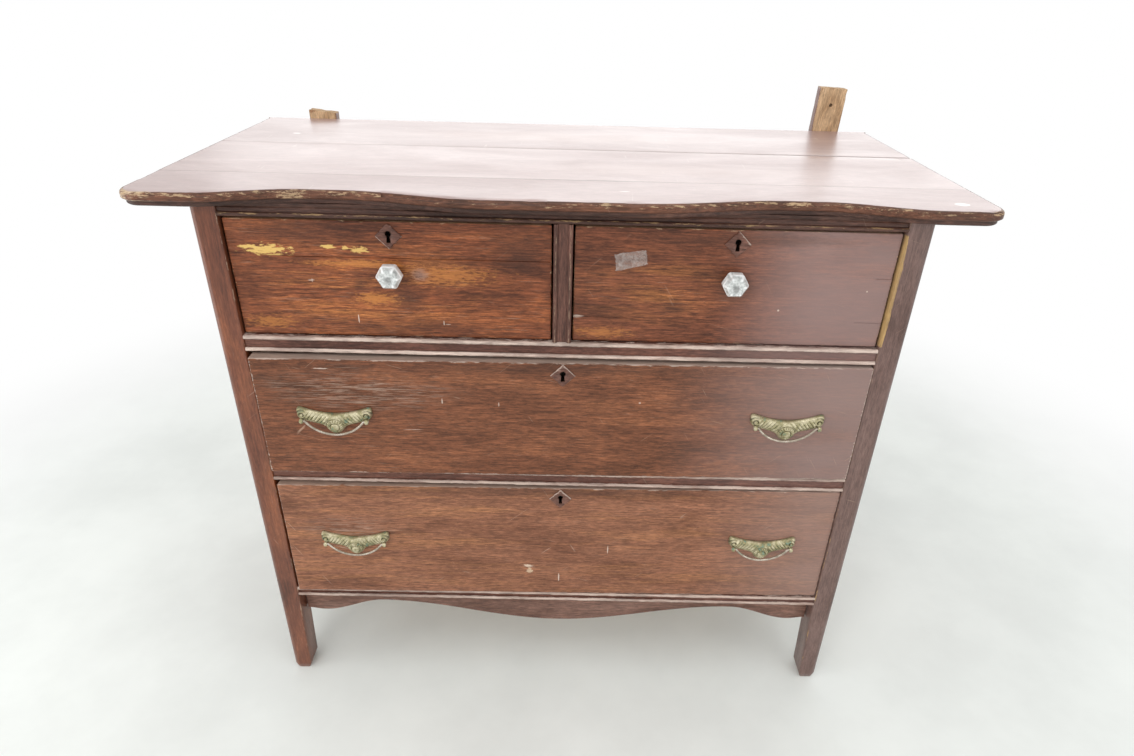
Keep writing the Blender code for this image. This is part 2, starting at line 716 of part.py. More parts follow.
def plate_section(across):
    # Domed section of the crescent at one place along it, flat at the back
    place = abs(across)
    volute_place = PULL_HALF_LENGTH - PULL_TIP_LENGTH
    shell = swell(place, 0.0, SHELL_HALF_WIDTH)
    volute = swell(place, volute_place, VOLUTE_HALF_WIDTH)
    tip = max(place - volute_place, 0.0) / PULL_TIP_LENGTH
    pinch = PULL_TIP_SHARE + (1 - PULL_TIP_SHARE) * math.sqrt(max(1 - tip ** 2, 0.0))
    half_height = (PULL_HALF_HEIGHT + SHELL_EXTRA_HEIGHT * shell) * pinch
    relief = (PULL_RELIEF + SHELL_EXTRA_RELIEF * shell + VOLUTE_EXTRA_RELIEF * volute) * pinch
    level = PULL_SAG * (place / PULL_HALF_LENGTH) ** 2 - SHELL_EXTRA_HEIGHT * shell
    section = []
    for step in range(PULL_SECTION_FACETS + 1):
        angle = math.pi * step / PULL_SECTION_FACETS
        depth = CLEARANCE + relief * math.sin(angle)
        section.append((across, -depth, level - half_height * math.cos(angle)))
    return section


def build_pull(drawer, side_name, slide, place, face, level):
    name = drawer + "_" + side_name
    seat = add_anchor(name + "_pull_seat", (place, face, level), slide)
    rings = []
    for step in range(PULL_SLICES + 1):
        turn = math.pi * (step / PULL_SLICES - 0.5)
        rings.append(plate_section(PULL_HALF_LENGTH * math.sin(turn)))
    plate = lofted(name + "_pull_plate", seat, rings, (0, 0, 0), AGED_BRASS)
    ear_outline = [(-CLEARANCE, -EAR_RADIUS), (-CLEARANCE, EAR_RADIUS)]
    ear_outline += arc((-BAIL_AXIS_PROUD, 0), EAR_RADIUS, 90, 270, EAR_FACETS)
    sides = {"left": -EAR_SPREAD, "right": EAR_SPREAD}
    for ear_name, ear_place in sides.items():
        ear = extruded(name + "_" + ear_name + "_ear", seat, ear_outline, EAR_THICKNESS,
                       (ear_place, 0, BAIL_AXIS_RAISE), ALONG_X, None)
        carve(plate, ear, "UNION")
    pin_reach = EAR_SPREAD + EAR_THICKNESS / 2
    bore_radius = (BAIL_WIRE_RADIUS + CLEARANCE) / math.cos(math.pi / ROUND_FACETS)
    bore_along_x = (0, math.pi / 2, 0)
    for bore_name, bore_place in sides.items():
        bore = cylinder(name + "_" + bore_name + "_bore", seat, bore_radius, 2 * EAR_THICKNESS,
                        (bore_place, -BAIL_AXIS_PROUD, BAIL_AXIS_RAISE), bore_along_x, None)
        carve(plate, bore)
    smooth_round(plate, 50)
    build_bail(name + "_bail", seat, pin_reach, (0, -BAIL_AXIS_PROUD, BAIL_AXIS_RAISE))


def build_bail(name, seat, pin_reach, axis_place):
    # Wire that hangs in an arc between two straight pins; its origin is on the pins' axis
    shoulder = EAR_SPREAD - EAR_THICKNESS / 2 - BAIL_PIN_RUN
    sag = BAIL_DROP - BAIL_SHOULDER
    bend = (shoulder ** 2 + sag ** 2) / (2 * sag)
    opening = math.asin(shoulder / bend)
    hang = []
    for step in range(BAIL_FACETS + 1):
        angle = opening * (2 * step / BAIL_FACETS - 1)
        hang.append((bend * math.sin(angle), bend - BAIL_DROP - bend * math.cos(angle)))
    run = [(-pin_reach - CLEARANCE, 0.0), (-shoulder - BAIL_PIN_RUN / 2, 0.0)]
    run += hang
    run += [(-across, up) for across, up in reversed(run[:2])]
    curve = bpy.data.curves.new(name, "CURVE")
    curve.dimensions = "3D"
    curve.bevel_depth = BAIL_WIRE_RADIUS
    curve.bevel_resolution = 2
    curve.use_fill_caps = True
    spline = curve.splines.new("POLY")
    spline.points.add(len(run) - 1)
    for point, (across, up) in zip(spline.points, run):
        point.co = (across, 0.0, up, 1.0)
    add_piece(name, curve, seat, axis_place, RUBBED_BRASS)


def build_drawers():
    inner = DIVIDER_WIDTH / 2
    short_drawers = {
        "top_left_drawer": (-POST_INNER, -inner),
        "top_right_drawer": (inner, POST_INNER),
    }
    for name, (left, right) in short_drawers.items():
        slide, face, top = build_drawer(
            name, left, right, UPPER_RAIL_TOP, TOP_OPENING, -TOP_DRAWER_RECESS,
            SHORT_DRAWER_SIDE_GAP, False)
        build_knob(name + "_knob", slide, face, top / 2 + KNOB_RAISE)
    long_drawers = {
        "middle_drawer": (MIDDLE_RAIL_TOP, MIDDLE_OPENING, MIDDLE_DRAWER_PROUD),
        "bottom_drawer": (BOTTOM_RAIL_TOP, BOTTOM_OPENING, BOTTOM_DRAWER_PROUD),
    }
    for name, (base, opening, proud) in long_drawers.items():
        slide, face, top = build_drawer(
            name, -POST_INNER, POST_INNER, base, opening, proud, LONG_DRAWER_SIDE_GAP, True)
        level = top / 2 + PULL_RAISE
        spread = POST_INNER - LONG_DRAWER_SIDE_GAP - PULL_INSET
        build_pull(name, "left", slide, -spread, face, level)
        build_pull(name, "right", slide, spread, face, level)


case = add_anchor("case_front", (0, FRONT_Y, 0))
build_posts()
build_panels()
build_rail("upper_drawer_rail", UPPER_RAIL_BASE, DRAWER_RAIL_HEIGHT)
build_rail("middle_drawer_rail", MIDDLE_RAIL_BASE, DRAWER_RAIL_HEIGHT)
build_rail("bottom_rail", LEG_HEIGHT, BOTTOM_RAIL_HEIGHT)
build_frieze()
build_divider()
build_apron()
build_top()
build_mirror_posts()
build_drawers()
bpy.context.view_layer.update()
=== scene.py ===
import json
import math

import bmesh
import bpy
from mathutils import Matrix, Vector, noise

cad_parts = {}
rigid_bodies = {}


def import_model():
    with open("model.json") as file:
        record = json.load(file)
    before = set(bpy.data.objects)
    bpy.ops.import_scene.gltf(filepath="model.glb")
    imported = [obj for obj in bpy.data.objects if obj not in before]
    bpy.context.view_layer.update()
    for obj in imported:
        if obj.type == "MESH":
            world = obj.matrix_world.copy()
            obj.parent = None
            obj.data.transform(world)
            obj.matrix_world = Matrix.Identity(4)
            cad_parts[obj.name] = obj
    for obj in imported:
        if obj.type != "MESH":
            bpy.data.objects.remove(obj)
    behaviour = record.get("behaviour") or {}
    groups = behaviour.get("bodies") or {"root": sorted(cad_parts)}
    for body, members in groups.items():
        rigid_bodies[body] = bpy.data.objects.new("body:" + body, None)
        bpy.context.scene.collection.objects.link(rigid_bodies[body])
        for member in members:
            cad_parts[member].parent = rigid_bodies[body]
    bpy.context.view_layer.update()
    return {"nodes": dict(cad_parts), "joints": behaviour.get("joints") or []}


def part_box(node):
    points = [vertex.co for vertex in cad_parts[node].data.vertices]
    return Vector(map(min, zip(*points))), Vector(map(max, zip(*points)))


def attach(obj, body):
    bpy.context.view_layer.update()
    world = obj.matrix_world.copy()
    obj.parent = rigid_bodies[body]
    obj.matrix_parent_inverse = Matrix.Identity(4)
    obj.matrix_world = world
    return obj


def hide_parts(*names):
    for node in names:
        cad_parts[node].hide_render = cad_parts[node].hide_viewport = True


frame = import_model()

nodes = frame["nodes"]
print("frame loaded:", len(nodes), "nodes")


# Small tools for shaping

def clampTo(low, high, value):
    return max(low, min(high, value))


def easeStep(low, high, value):
    share = clampTo(0.0, 1.0, (value - low) / (high - low))
    return share * share * (3 - 2 * share)


def roughNoise(place, scale, seed=0.0):
    # smooth noise, about -1 to 1, over places in metres
    return noise.fractal(Vector(place) * scale + Vector((seed, seed * 1.7, -seed)), 1.0, 2.0, 3)


def shareList(start, end, step):
    count = max(1, round(abs(end - start) / step))
    return [start + (end - start) * i / count for i in range(count + 1)]


def arcPoints(centre, radius, fromDegrees, toDegrees, steps):
    angles = [math.radians(fromDegrees + (toDegrees - fromDegrees) * i / steps) for i in range(steps + 1)]
    return [(centre[0] + radius * math.cos(a), centre[1] + radius * math.sin(a)) for a in angles]


def swingCurve(start, end, share):
    # S-curve from one value to another
    return start + (end - start) * (1 - math.cos(math.pi * share)) / 2


def unitCircle(count):
    angles = [math.tau * i / count for i in range(count)]
    return [(math.cos(a), math.sin(a)) for a in angles]


def scaled(share, colour):
    return tuple(share * c for c in colour)


def upright(u, v, w):
    # an outline drawn flat, stood up to face the front
    return Vector((u, w, v))


def smoothMesh(mesh, sharpDegrees):
    mesh.shade_smooth()
    mesh.set_sharp_from_angle(angle=math.radians(sharpDegrees))


def placeObject(name, data):
    thing = bpy.data.objects.new(name, data)
    bpy.context.scene.collection.objects.link(thing)
    return thing


def makePiece(name, points, faces, finish, sharpDegrees=35, matrix=None):
    mesh = bpy.data.meshes.new(name)
    mesh.from_pydata([tuple(p) for p in points], [], faces)
    shape = bmesh.new()
    shape.from_mesh(mesh)
    bmesh.ops.recalc_face_normals(shape, faces=shape.faces)
    shape.to_mesh(mesh)
    shape.free()
    smoothMesh(mesh, sharpDegrees)
    mesh.materials.append(finish)
    piece = placeObject(name, mesh)
    if matrix is not None:
        piece.matrix_world = matrix
    return piece


def settle(piece, body, slotName, *stoodFor):
    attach(piece, body)
    if stoodFor:
        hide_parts(*stoodFor)


def storePoints(piece, layerName, numbers):
    # a number on each point, which the finish reads
    layer = piece.data.attributes.new(layerName, "FLOAT", "POINT")
    layer.data.foreach_set("value", numbers)


def markPoints(piece, layerName, rule):
    # numbers worked out from places, such as how far a point lies from a worn edge
    storePoints(piece, layerName, [rule(v.co) for v in piece.data.vertices])


def loftFaces(ringCount, ringSize):
    faces = []
    for r in range(ringCount - 1):
        here, there = r * ringSize, (r + 1) * ringSize
        for i in range(ringSize):
            j = (i + 1) % ringSize
            faces.append((here + i, here + j, there + j, there + i))
    faces.append(list(range(ringSize)))
    faces.append(list(range((ringCount - 1) * ringSize, ringCount * ringSize)))
    return faces


def shiftFaces(faces, start):
    return [[start + i for i in face] for face in faces]


def turnedPoints(seat, steps, rim):
    # rings of a turned piece that points along y, from (radius, y) steps
    circle = unitCircle(rim)
    return [seat + Vector((radius * across, y, radius * up))
            for radius, y in steps for across, up in circle]


def boardStops(low, high, radius, step, extra=()):
    # places along one side of a board, close together on its rounded arrises
    turns = [radius * (1 - math.tan(math.radians(a))) for a in (45, 30, 15)]
    stops = [low + t for t in turns] + shareList(low + radius, high - radius, step)
    stops += [high - t for t in reversed(turns)]
    return sorted(stops + [e for e in extra if low + radius < e < high - radius])


def roundedBoard(low, high, radius, steps, extra=((), (), ())):
    # a board of small faces with rounded arrises
    stops = [boardStops(low[k], high[k], radius, steps[k], extra[k]) for k in range(3)]
    counts = [len(s) for s in stops]
    known, points, faces = {}, [], []

    def pointAt(place):
        if place not in known:
            known[place] = len(points)
            p = Vector(stops[k][place[k]] for k in range(3))
            core = Vector(clampTo(low[k] + radius, high[k] - radius, p[k]) for k in range(3))
            points.append(core + (p - core).normalized() * radius)
        return known[place]

    for axis in range(3):
        u, v = (axis + 1) % 3, (axis + 2) % 3
        for end in (0, counts[axis] - 1):
            for a in range(counts[u] - 1):
                for b in range(counts[v] - 1):
                    cell = []
                    for da, db in ((0, 0), (1, 0), (1, 1), (0, 1)):
                        place = [0, 0, 0]
                        place[axis], place[u], place[v] = end, a + da, b + db
                        cell.append(pointAt(tuple(place)))
                    faces.append(cell)
    return points, faces


def edgeGap(p, low, high):
    # distance from a point on a board to the board's nearest arris
    gaps = sorted(max(0.0, min(p[k] - low[k], high[k] - p[k])) for k in range(3))
    return math.hypot(gaps[0], gaps[1])


def chipBoard(points, low, high, chips):
    # knocks and chips eat into the arrises only
    for p in points:
        gap = edgeGap(p, low, high)
        if gap > chips["reach"]:
            continue
        bite = max(0.0, roughNoise(p, chips["scale"], chips["seed"]) - chips["above"]) * chips["depth"]
        bite *= 1 - gap / chips["reach"]
        sides = sorted(range(3), key=lambda k: min(p[k] - low[k], high[k] - p[k]))[:2]
        for k in sides:
            p[k] += bite if p[k] - low[k] < high[k] - p[k] else -bite


def slabRings(outline, profile, place=upright):
    # a closed flat outline carried through (height, inset) steps
    count = len(outline)
    rings = []
    for height, inset in profile:
        for i, (u, v) in enumerate(outline):
            before, after = outline[i - 1], outline[(i + 1) % count]
            along = Vector((after[0] - before[0], after[1] - before[1])).normalized()
            rings.append(place(u - along.y * inset, v + along.x * inset, height))
    return rings, loftFaces(len(profile), count)


def makeCutter(name, outline, near, far, finish, matrix):
    # a straight prism to cut out of a piece; the walls it leaves take its finish
    points, faces = slabRings(outline, [(near, 0.0), (far, 0.0)])
    return makePiece(name, points, faces, finish, 35, matrix)


def cutOut(piece, cutter):
    boolean = piece.modifiers.new("cut", "BOOLEAN")
    boolean.operation = "DIFFERENCE"
    boolean.solver = "EXACT"
    boolean.material_mode = "TRANSFER"
    boolean.object = cutter
    graph = bpy.context.evaluated_depsgraph_get()
    mesh = bpy.data.meshes.new_from_object(piece.evaluated_get(graph))
    piece.modifiers.clear()
    old = piece.data
    piece.data = mesh
    bpy.data.meshes.remove(old)
    bpy.data.objects.remove(cutter, do_unlink=True)


# Small tools for finishes

def feed(tree, socket, value):
    if isinstance(value, bpy.types.NodeSocket):
        tree.links.new(value, socket)
    elif isinstance(value, tuple) and len(value) == 3 and socket.type == "RGBA":
        socket.default_value = (*value, 1.0)
    else:
        socket.default_value = value


def setValues(tree, node, values):
    for name, value in values.items():
        feed(tree, node.inputs[name], value)


def calc(tree, operation, first, second=0.0, third=0.0):
    node = tree.nodes.new("ShaderNodeMath")
    node.operation = operation
    for socket, value in zip(node.inputs, (first, second, third)):
        feed(tree, socket, value)
    return node.outputs[0]


def times(tree, first, second):
    return calc(tree, "MULTIPLY", first, second)


def lengthOf(tree, first, second):
    squares = calc(tree, "MULTIPLY_ADD", first, first, times(tree, second, second))
    return calc(tree, "SQRT", squares)


def spread(tree, value, low, high, toLow=0.0, toHigh=1.0):
    node = tree.nodes.new("ShaderNodeMapRange")
    node.interpolation_type = "SMOOTHSTEP"
    for socket, number in zip(node.inputs, (value, low, high, toLow, toHigh)):
        feed(tree, socket, number)
    return node.outputs[0]


def blendColour(tree, share, first, second):
    node = tree.nodes.new("ShaderNodeMix")
    node.data_type = "RGBA"
    feed(tree, node.inputs[0], share)
    feed(tree, node.inputs[6], first)
    feed(tree, node.inputs[7], second)
    return node.outputs[2]


def objectPlace(tree):
    node = tree.nodes.new("ShaderNodeTexCoord")
    return node.outputs["Object"]


def splitAxes(tree, coords):
    node = tree.nodes.new("ShaderNodeSeparateXYZ")
    feed(tree, node.inputs[0], coords)
    return node.outputs


def pieceNumber(tree, layerName):
    node = tree.nodes.new("ShaderNodeAttribute")
    node.attribute_name = layerName
    return node.outputs["Fac"]


def noiseOver(tree, coords, stretch, detail=4.0, rough=0.6, turn=0.0, shift=0.0, bend=0.0):
    # stretch is how many ripples to a metre, for each axis or for all three
    if not isinstance(stretch, tuple):
        stretch = (stretch,) * 3
    mapping = tree.nodes.new("ShaderNodeMapping")
    mapping.vector_type = "TEXTURE"
    setValues(tree, mapping, {"Rotation": (0.0, turn, 0.0), "Location": (shift, shift * 0.7, shift * 1.3),
                              "Scale": tuple(1.0 / s for s in stretch), "Vector": coords})
    node = tree.nodes.new("ShaderNodeTexNoise")
    setValues(tree, node, {"Scale": 1.0, "Detail": detail, "Roughness": rough, "Distortion": bend,
                           "Vector": mapping.outputs[0]})
    return node.outputs["Fac"]


def bumpFrom(tree, shader, height, strength, distance):
    node = tree.nodes.new("ShaderNodeBump")
    setValues(tree, node, {"Strength": strength, "Distance": distance, "Height": height})
    feed(tree, shader.inputs["Normal"], node.outputs[0])


def newFinish(name):
    finish = bpy.data.materials.new(name)
    finish.use_nodes = True
    return finish, finish.node_tree, finish.node_tree.nodes["Principled BSDF"]


# Wood finishes: one recipe, with what differs from board to board in a dictionary

plainWood = {
    "grain": 0,                                # axis that the grain runs along
    "dark": (0.085, 0.026, 0.012),
    "middle": (0.165, 0.052, 0.023),
    "light": (0.280, 0.092, 0.036),
    "cloudSize": (5.0, 21.0),                  # per metre, along and across the grain
    "streaks": 0.55,
    "flecks": 0.45,                            # short light and dark fibres
    "pores": 0.45,
    "golden": 0.0,                             # stain rubbed thin, in patches
    "goldenColour": (0.470, 0.185, 0.050),
    "goldenSpot": None,                        # (x, z, half width, half height)
    "haze": 0.0,                               # greyed, bloomed varnish with a painted sheen of reflected light towards one end
    "hazeSpan": (0.15, 0.45),
    "hazeColour": (0.330, 0.225, 0.210),
    "wear": 0.0012,                            # how far bare wood reaches in from an arris
    "wearEven": 0.15,                          # share of that reach found everywhere
    "wearStrength": 0.75,
    "wearSoft": 0.0009,
    "wearPatchy": 0.0,                         # how far the wear fades in patches
    "wearColour": (0.560, 0.390, 0.240),
    "scratches": 0.5,
    "scratchColour": (0.520, 0.350, 0.250),
    "roughness": (0.34, 0.52),
    "gloss": 0.28,
    "coat": 0.06,
    "coatRoughness": 0.22,
    "bump": 0.35,
    "paleGrain": 0.25,                         # dust and dried varnish in the pores
    "paleColour": (0.420, 0.290, 0.220),
    "paleSpot": None,
    "marks": (),              # (x, z, half width, half height, raggedness, softness, colour, strength)
    "markPlane": (0, 2),
    "shift": 0.0,
}
woodLayers = {                # ripples per metre along and across the grain, detail, roughness, shift, bend
    "streak": (26.0, 520.0, 6.0, 0.72, 3.0, 0.7),
    "fleck": (70.0, 430.0, 5.0, 0.78, 5.0, 0.4),
    "fine": (48.0, 950.0, 4.0, 0.65, 7.0, 0.0),
    "rubbed": (4.0, 40.0, 5.0, 0.66, 11.0, 0.6),
    "dust": (26.0, 900.0, 4.0, 0.7, 13.0, 0.0),
    "bloomAndSheenCloud": (4.0, 14.0, 3.0, 0.55, 17.0, 0.0),
    "crumbs": (110.0, 420.0, 5.0, 0.75, 43.0, 0.0),
    "knocks": (45.0, 260.0, 6.0, 0.75, 47.0, 0.0),
    "patches": (16.0, 90.0, 5.0, 0.7, 53.0, 0.0),
}
scratchTurns = ((1.05, 31.0), (-0.7, 37.0), (0.3, 41.0))    # direction and shift of each set of scratches


def ovalMask(tree, axes, spot, ragged, soft, texture):
    # 1 inside an oval patch, fading out over a ragged rim
    x, z, halfWidth, halfHeight = spot
    across = calc(tree, "MULTIPLY_ADD", axes[0], 1 / halfWidth, -x / halfWidth)
    up = calc(tree, "MULTIPLY_ADD", axes[1], 1 / halfHeight, -z / halfHeight)
    reach = lengthOf(tree, across, up)
    rim = calc(tree, "MULTIPLY_ADD", calc(tree, "SUBTRACT", texture, 0.5), ragged, reach)
    return spread(tree, rim, 1.0, 1.0 - soft)


def woodFinish(name, **changes):
    look = {**plainWood, **changes}
    finish, tree, shader = newFinish(name)
    coords = objectPlace(tree)
    parts = splitAxes(tree, coords)
    facing = (parts[0], parts[2])
    shift = look["shift"]

    def along(length, across):
        return tuple(length if k == look["grain"] else across for k in range(3))

    def layer(kind):
        length, across, detail, rough, offset, bend = woodLayers[kind]
        return noiseOver(tree, coords, along(length, across), detail, rough, shift=shift + offset,
                         bend=bend)

    tone = noiseOver(tree, coords, along(*look["cloudSize"]), 5.0, 0.66, shift=shift, bend=0.6)
    streak, fleck, fine = layer("streak"), layer("fleck"), layer("fine")
    colour = blendColour(tree, spread(tree, tone, 0.30, 0.52), look["dark"], look["middle"])
    colour = blendColour(tree, spread(tree, tone, 0.48, 0.72), colour, look["light"])
    if look["golden"]:
        thin = layer("rubbed")
        rubbed = calc(tree, "MULTIPLY_ADD", streak, 0.45, thin)
        share = spread(tree, rubbed, 0.66, 0.92, 0.0, look["golden"])
        if look["goldenSpot"]:
            share = times(tree, share, ovalMask(tree, facing, look["goldenSpot"], 0.9, 0.7, thin))
        colour = blendColour(tree, share, colour, look["goldenColour"])
    low, high = 1 - 0.62 * look["streaks"], 1 + 0.62 * look["streaks"]
    shade = times(tree, spread(tree, streak, 0.34, 0.66, low, high),
                  spread(tree, fine, 0.58, 0.70, 1.0, 1 - look["pores"]))
    low, high = 1 - 0.70 * look["flecks"], 1 + 0.85 * look["flecks"]
    shade = times(tree, shade, spread(tree, fleck, 0.36, 0.66, low, high))
    shaded = tree.nodes.new("ShaderNodeVectorMath")
    shaded.operation = "SCALE"
    feed(tree, shaded.inputs[0], colour)
    feed(tree, shaded.inputs["Scale"], shade)
    colour = shaded.outputs[0]
    if look["paleGrain"]:
        dust = layer("dust")
        dusty = times(tree, spread(tree, dust, 0.58, 0.70, 0.0, look["paleGrain"]),
                      spread(tree, tone, 0.42, 0.60))
        if look["paleSpot"]:
            spot = ovalMask(tree, facing, look["paleSpot"], 1.2, 0.9, tone)
            spot = times(tree, spot, spread(tree, dust, 0.50, 0.62, 0.0, 0.75))
            dusty = calc(tree, "MAXIMUM", dusty, spot)
        colour = blendColour(tree, dusty, colour, look["paleColour"])
    # bloomed varnish and a painted sheen of reflected light, greying the colour towards one end
    if look["haze"]:
        bloomAndSheenCloud = layer("bloomAndSheenCloud")
        start, end = look["hazeSpan"]
        veil = times(tree, spread(tree, parts[0], start, end, 0.0, look["haze"]),
                     spread(tree, bloomAndSheenCloud, 0.2, 0.6, 0.65, 1.0))
        colour = blendColour(tree, veil, colour, look["hazeColour"])
    if look["scratches"]:
        lines = 0.0
        for turn, offset in scratchTurns:
            hair = noiseOver(tree, coords, (1.3, 1.3, 75.0), 0.0, 0.4, turn=turn, shift=shift + offset)
            thin = spread(tree, calc(tree, "ABSOLUTE", calc(tree, "SUBTRACT", hair, 0.5)), 0.008, 0.002)
            stretch = noiseOver(tree, coords, (22.0, 22.0, 75.0), 1.0, 0.5, turn=turn,
                                shift=shift + offset + 2.0)
            scratch = times(tree, thin, spread(tree, stretch, 0.66, 0.76))
            lines = calc(tree, "MAXIMUM", lines, scratch)
        lines = times(tree, lines, look["scratches"])
        colour = blendColour(tree, lines, colour, look["scratchColour"])
    crumbs = layer("crumbs")
    axes = [parts[k] for k in look["markPlane"]]
    for x, z, halfWidth, halfHeight, ragged, soft, markColour, strength in look["marks"]:
        patch = ovalMask(tree, axes, (x, z, halfWidth, halfHeight), ragged, soft, crumbs)
        colour = blendColour(tree, times(tree, patch, strength), colour, markColour)
    # bare wood where an arris has been rubbed or a sliver has split off
    knocks = layer("knocks")
    reach = spread(tree, knocks, 0.44, 0.72, look["wearEven"] * look["wear"], 2.2 * look["wear"])
    arris = pieceNumber(tree, "arris")
    worn = calc(tree, "DIVIDE", calc(tree, "SUBTRACT", reach, arris), look["wearSoft"])
    worn = calc(tree, "MINIMUM", calc(tree, "MAXIMUM", worn, 0.0), look["wearStrength"])
    if look["wearPatchy"]:
        patches = layer("patches")
        worn = times(tree, worn, spread(tree, patches, 0.36, 0.60, 1 - look["wearPatchy"], 1.0))
    bare = calc(tree, "MAXIMUM", worn, times(tree, pieceNumber(tree, "bare"), 0.95))
    dusty = blendColour(tree, spread(tree, streak, 0.3, 0.65), scaled(0.62, look["wearColour"]),
                        look["wearColour"])
    colour = blendColour(tree, bare, colour, dusty)
    gloss = spread(tree, tone, 0.3, 0.7, look["roughness"][1], look["roughness"][0])
    setValues(tree, shader, {"Base Color": colour,
                             "Roughness": calc(tree, "MULTIPLY_ADD", bare, 0.30, gloss),
                             "Specular IOR Level": look["gloss"], "Coat Weight": look["coat"],
                             "Coat Roughness": look["coatRoughness"]})
    bumpFrom(tree, shader, calc(tree, "MULTIPLY_ADD", fine, -0.5, streak), look["bump"], 0.0006)
    return finish


# Drawers that sit askew are drawn square, then turned as their bodies are

def drawerTurn(drawer):
    hinge = [j for j in frame["joints"] if j["type"] == "hinge" and j["parent"] == drawer]
    if not hinge:
        return Matrix.Identity(4)
    axis = hinge[0]["axis"]
    front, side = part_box(drawer + "_front"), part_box(drawer + "_left_side")
    middle = Vector((0.0, (front[0].y + side[1].y) / 2, 0.0))
    turn = Matrix.Rotation(math.atan2(-axis[1], -axis[0]), 4, "Z")
    return Matrix.Translation(middle) @ turn @ Matrix.Translation(-middle)


def squareBox(node, matrix):
    # a node's box in its drawer's own square frame
    back = matrix.inverted()
    places = [back @ v.co for v in nodes[node].data.vertices]
    low = Vector(min(p[k] for p in places) for k in range(3))
    high = Vector(max(p[k] for p in places) for k in range(3))
    return low, high


# Posts and legs

postShape = {
    "slice": 0.006, "round": 0.010, "roundFacets": 8, "arris": 0.0012,
    "legHeight": 0.180, "legTaper": 0.006, "footHeight": 0.009, "footIn": 0.003, "footSlice": 0.0015,
    "splitWidth": 0.0054, "splitDepth": 0.010, "splitRim": 0.0006, "splitSlice": 0.0016,
    "splitEnd": 0.0008, "splitLead": 0.0013, "splitEase": 0.0015, "splitFoot": 0.002, "splitHead": 0.0005,
    "chipDepth": 0.0035, "chipScale": 26.0, "chipAbove": 0.28,
    "footChip": 0.006, "footChipHeight": 0.03, "footChipScale": 90.0,
    "splitThins": (0.03, -0.06),                              # where it thins, from its upper end
    "splitRough": ((0.36, 20.0, 4.0), (0.10, 140.0, 7.0)),    # size, scale and seed
    "splitLeast": 0.30, "splitShare": 0.52, "splitMore": 0.22, "cutHollow": 0.35,
    "bareLeast": 0.70, "bareShare": 0.92, "bareRough": 0.5, "bareScale": 45.0, "bareStep": 0.02,
    "footWear": 0.5, "footSpare": 0.0006,
}
postWood = woodFinish("post stain", grain=2, dark=(0.078, 0.023, 0.011), middle=(0.145, 0.044, 0.020),
                      light=(0.230, 0.074, 0.030), streaks=0.30, flecks=0.28, wear=0.0012,
                      wearColour=(0.50, 0.36, 0.25), gloss=0.2, coat=0.6, coatRoughness=0.10,
                      scratches=0.25, shift=2.0)
# the right posts take a greyer copy of the post stain: bloomed varnish with a painted sheen of reflected
# light
postWoodRight = woodFinish("post stain hazed", grain=2, dark=(0.095, 0.052, 0.042),
                           middle=(0.150, 0.089, 0.075), light=(0.190, 0.117, 0.100), streaks=0.22,
                           flecks=0.25, wear=0.0010, wearColour=(0.540, 0.345, 0.140), gloss=0.2, coat=0.4,
                           coatRoughness=0.14, scratches=0.25, shift=5.0)
unworn = 0.02                 # a distance from any arris that no wear reaches


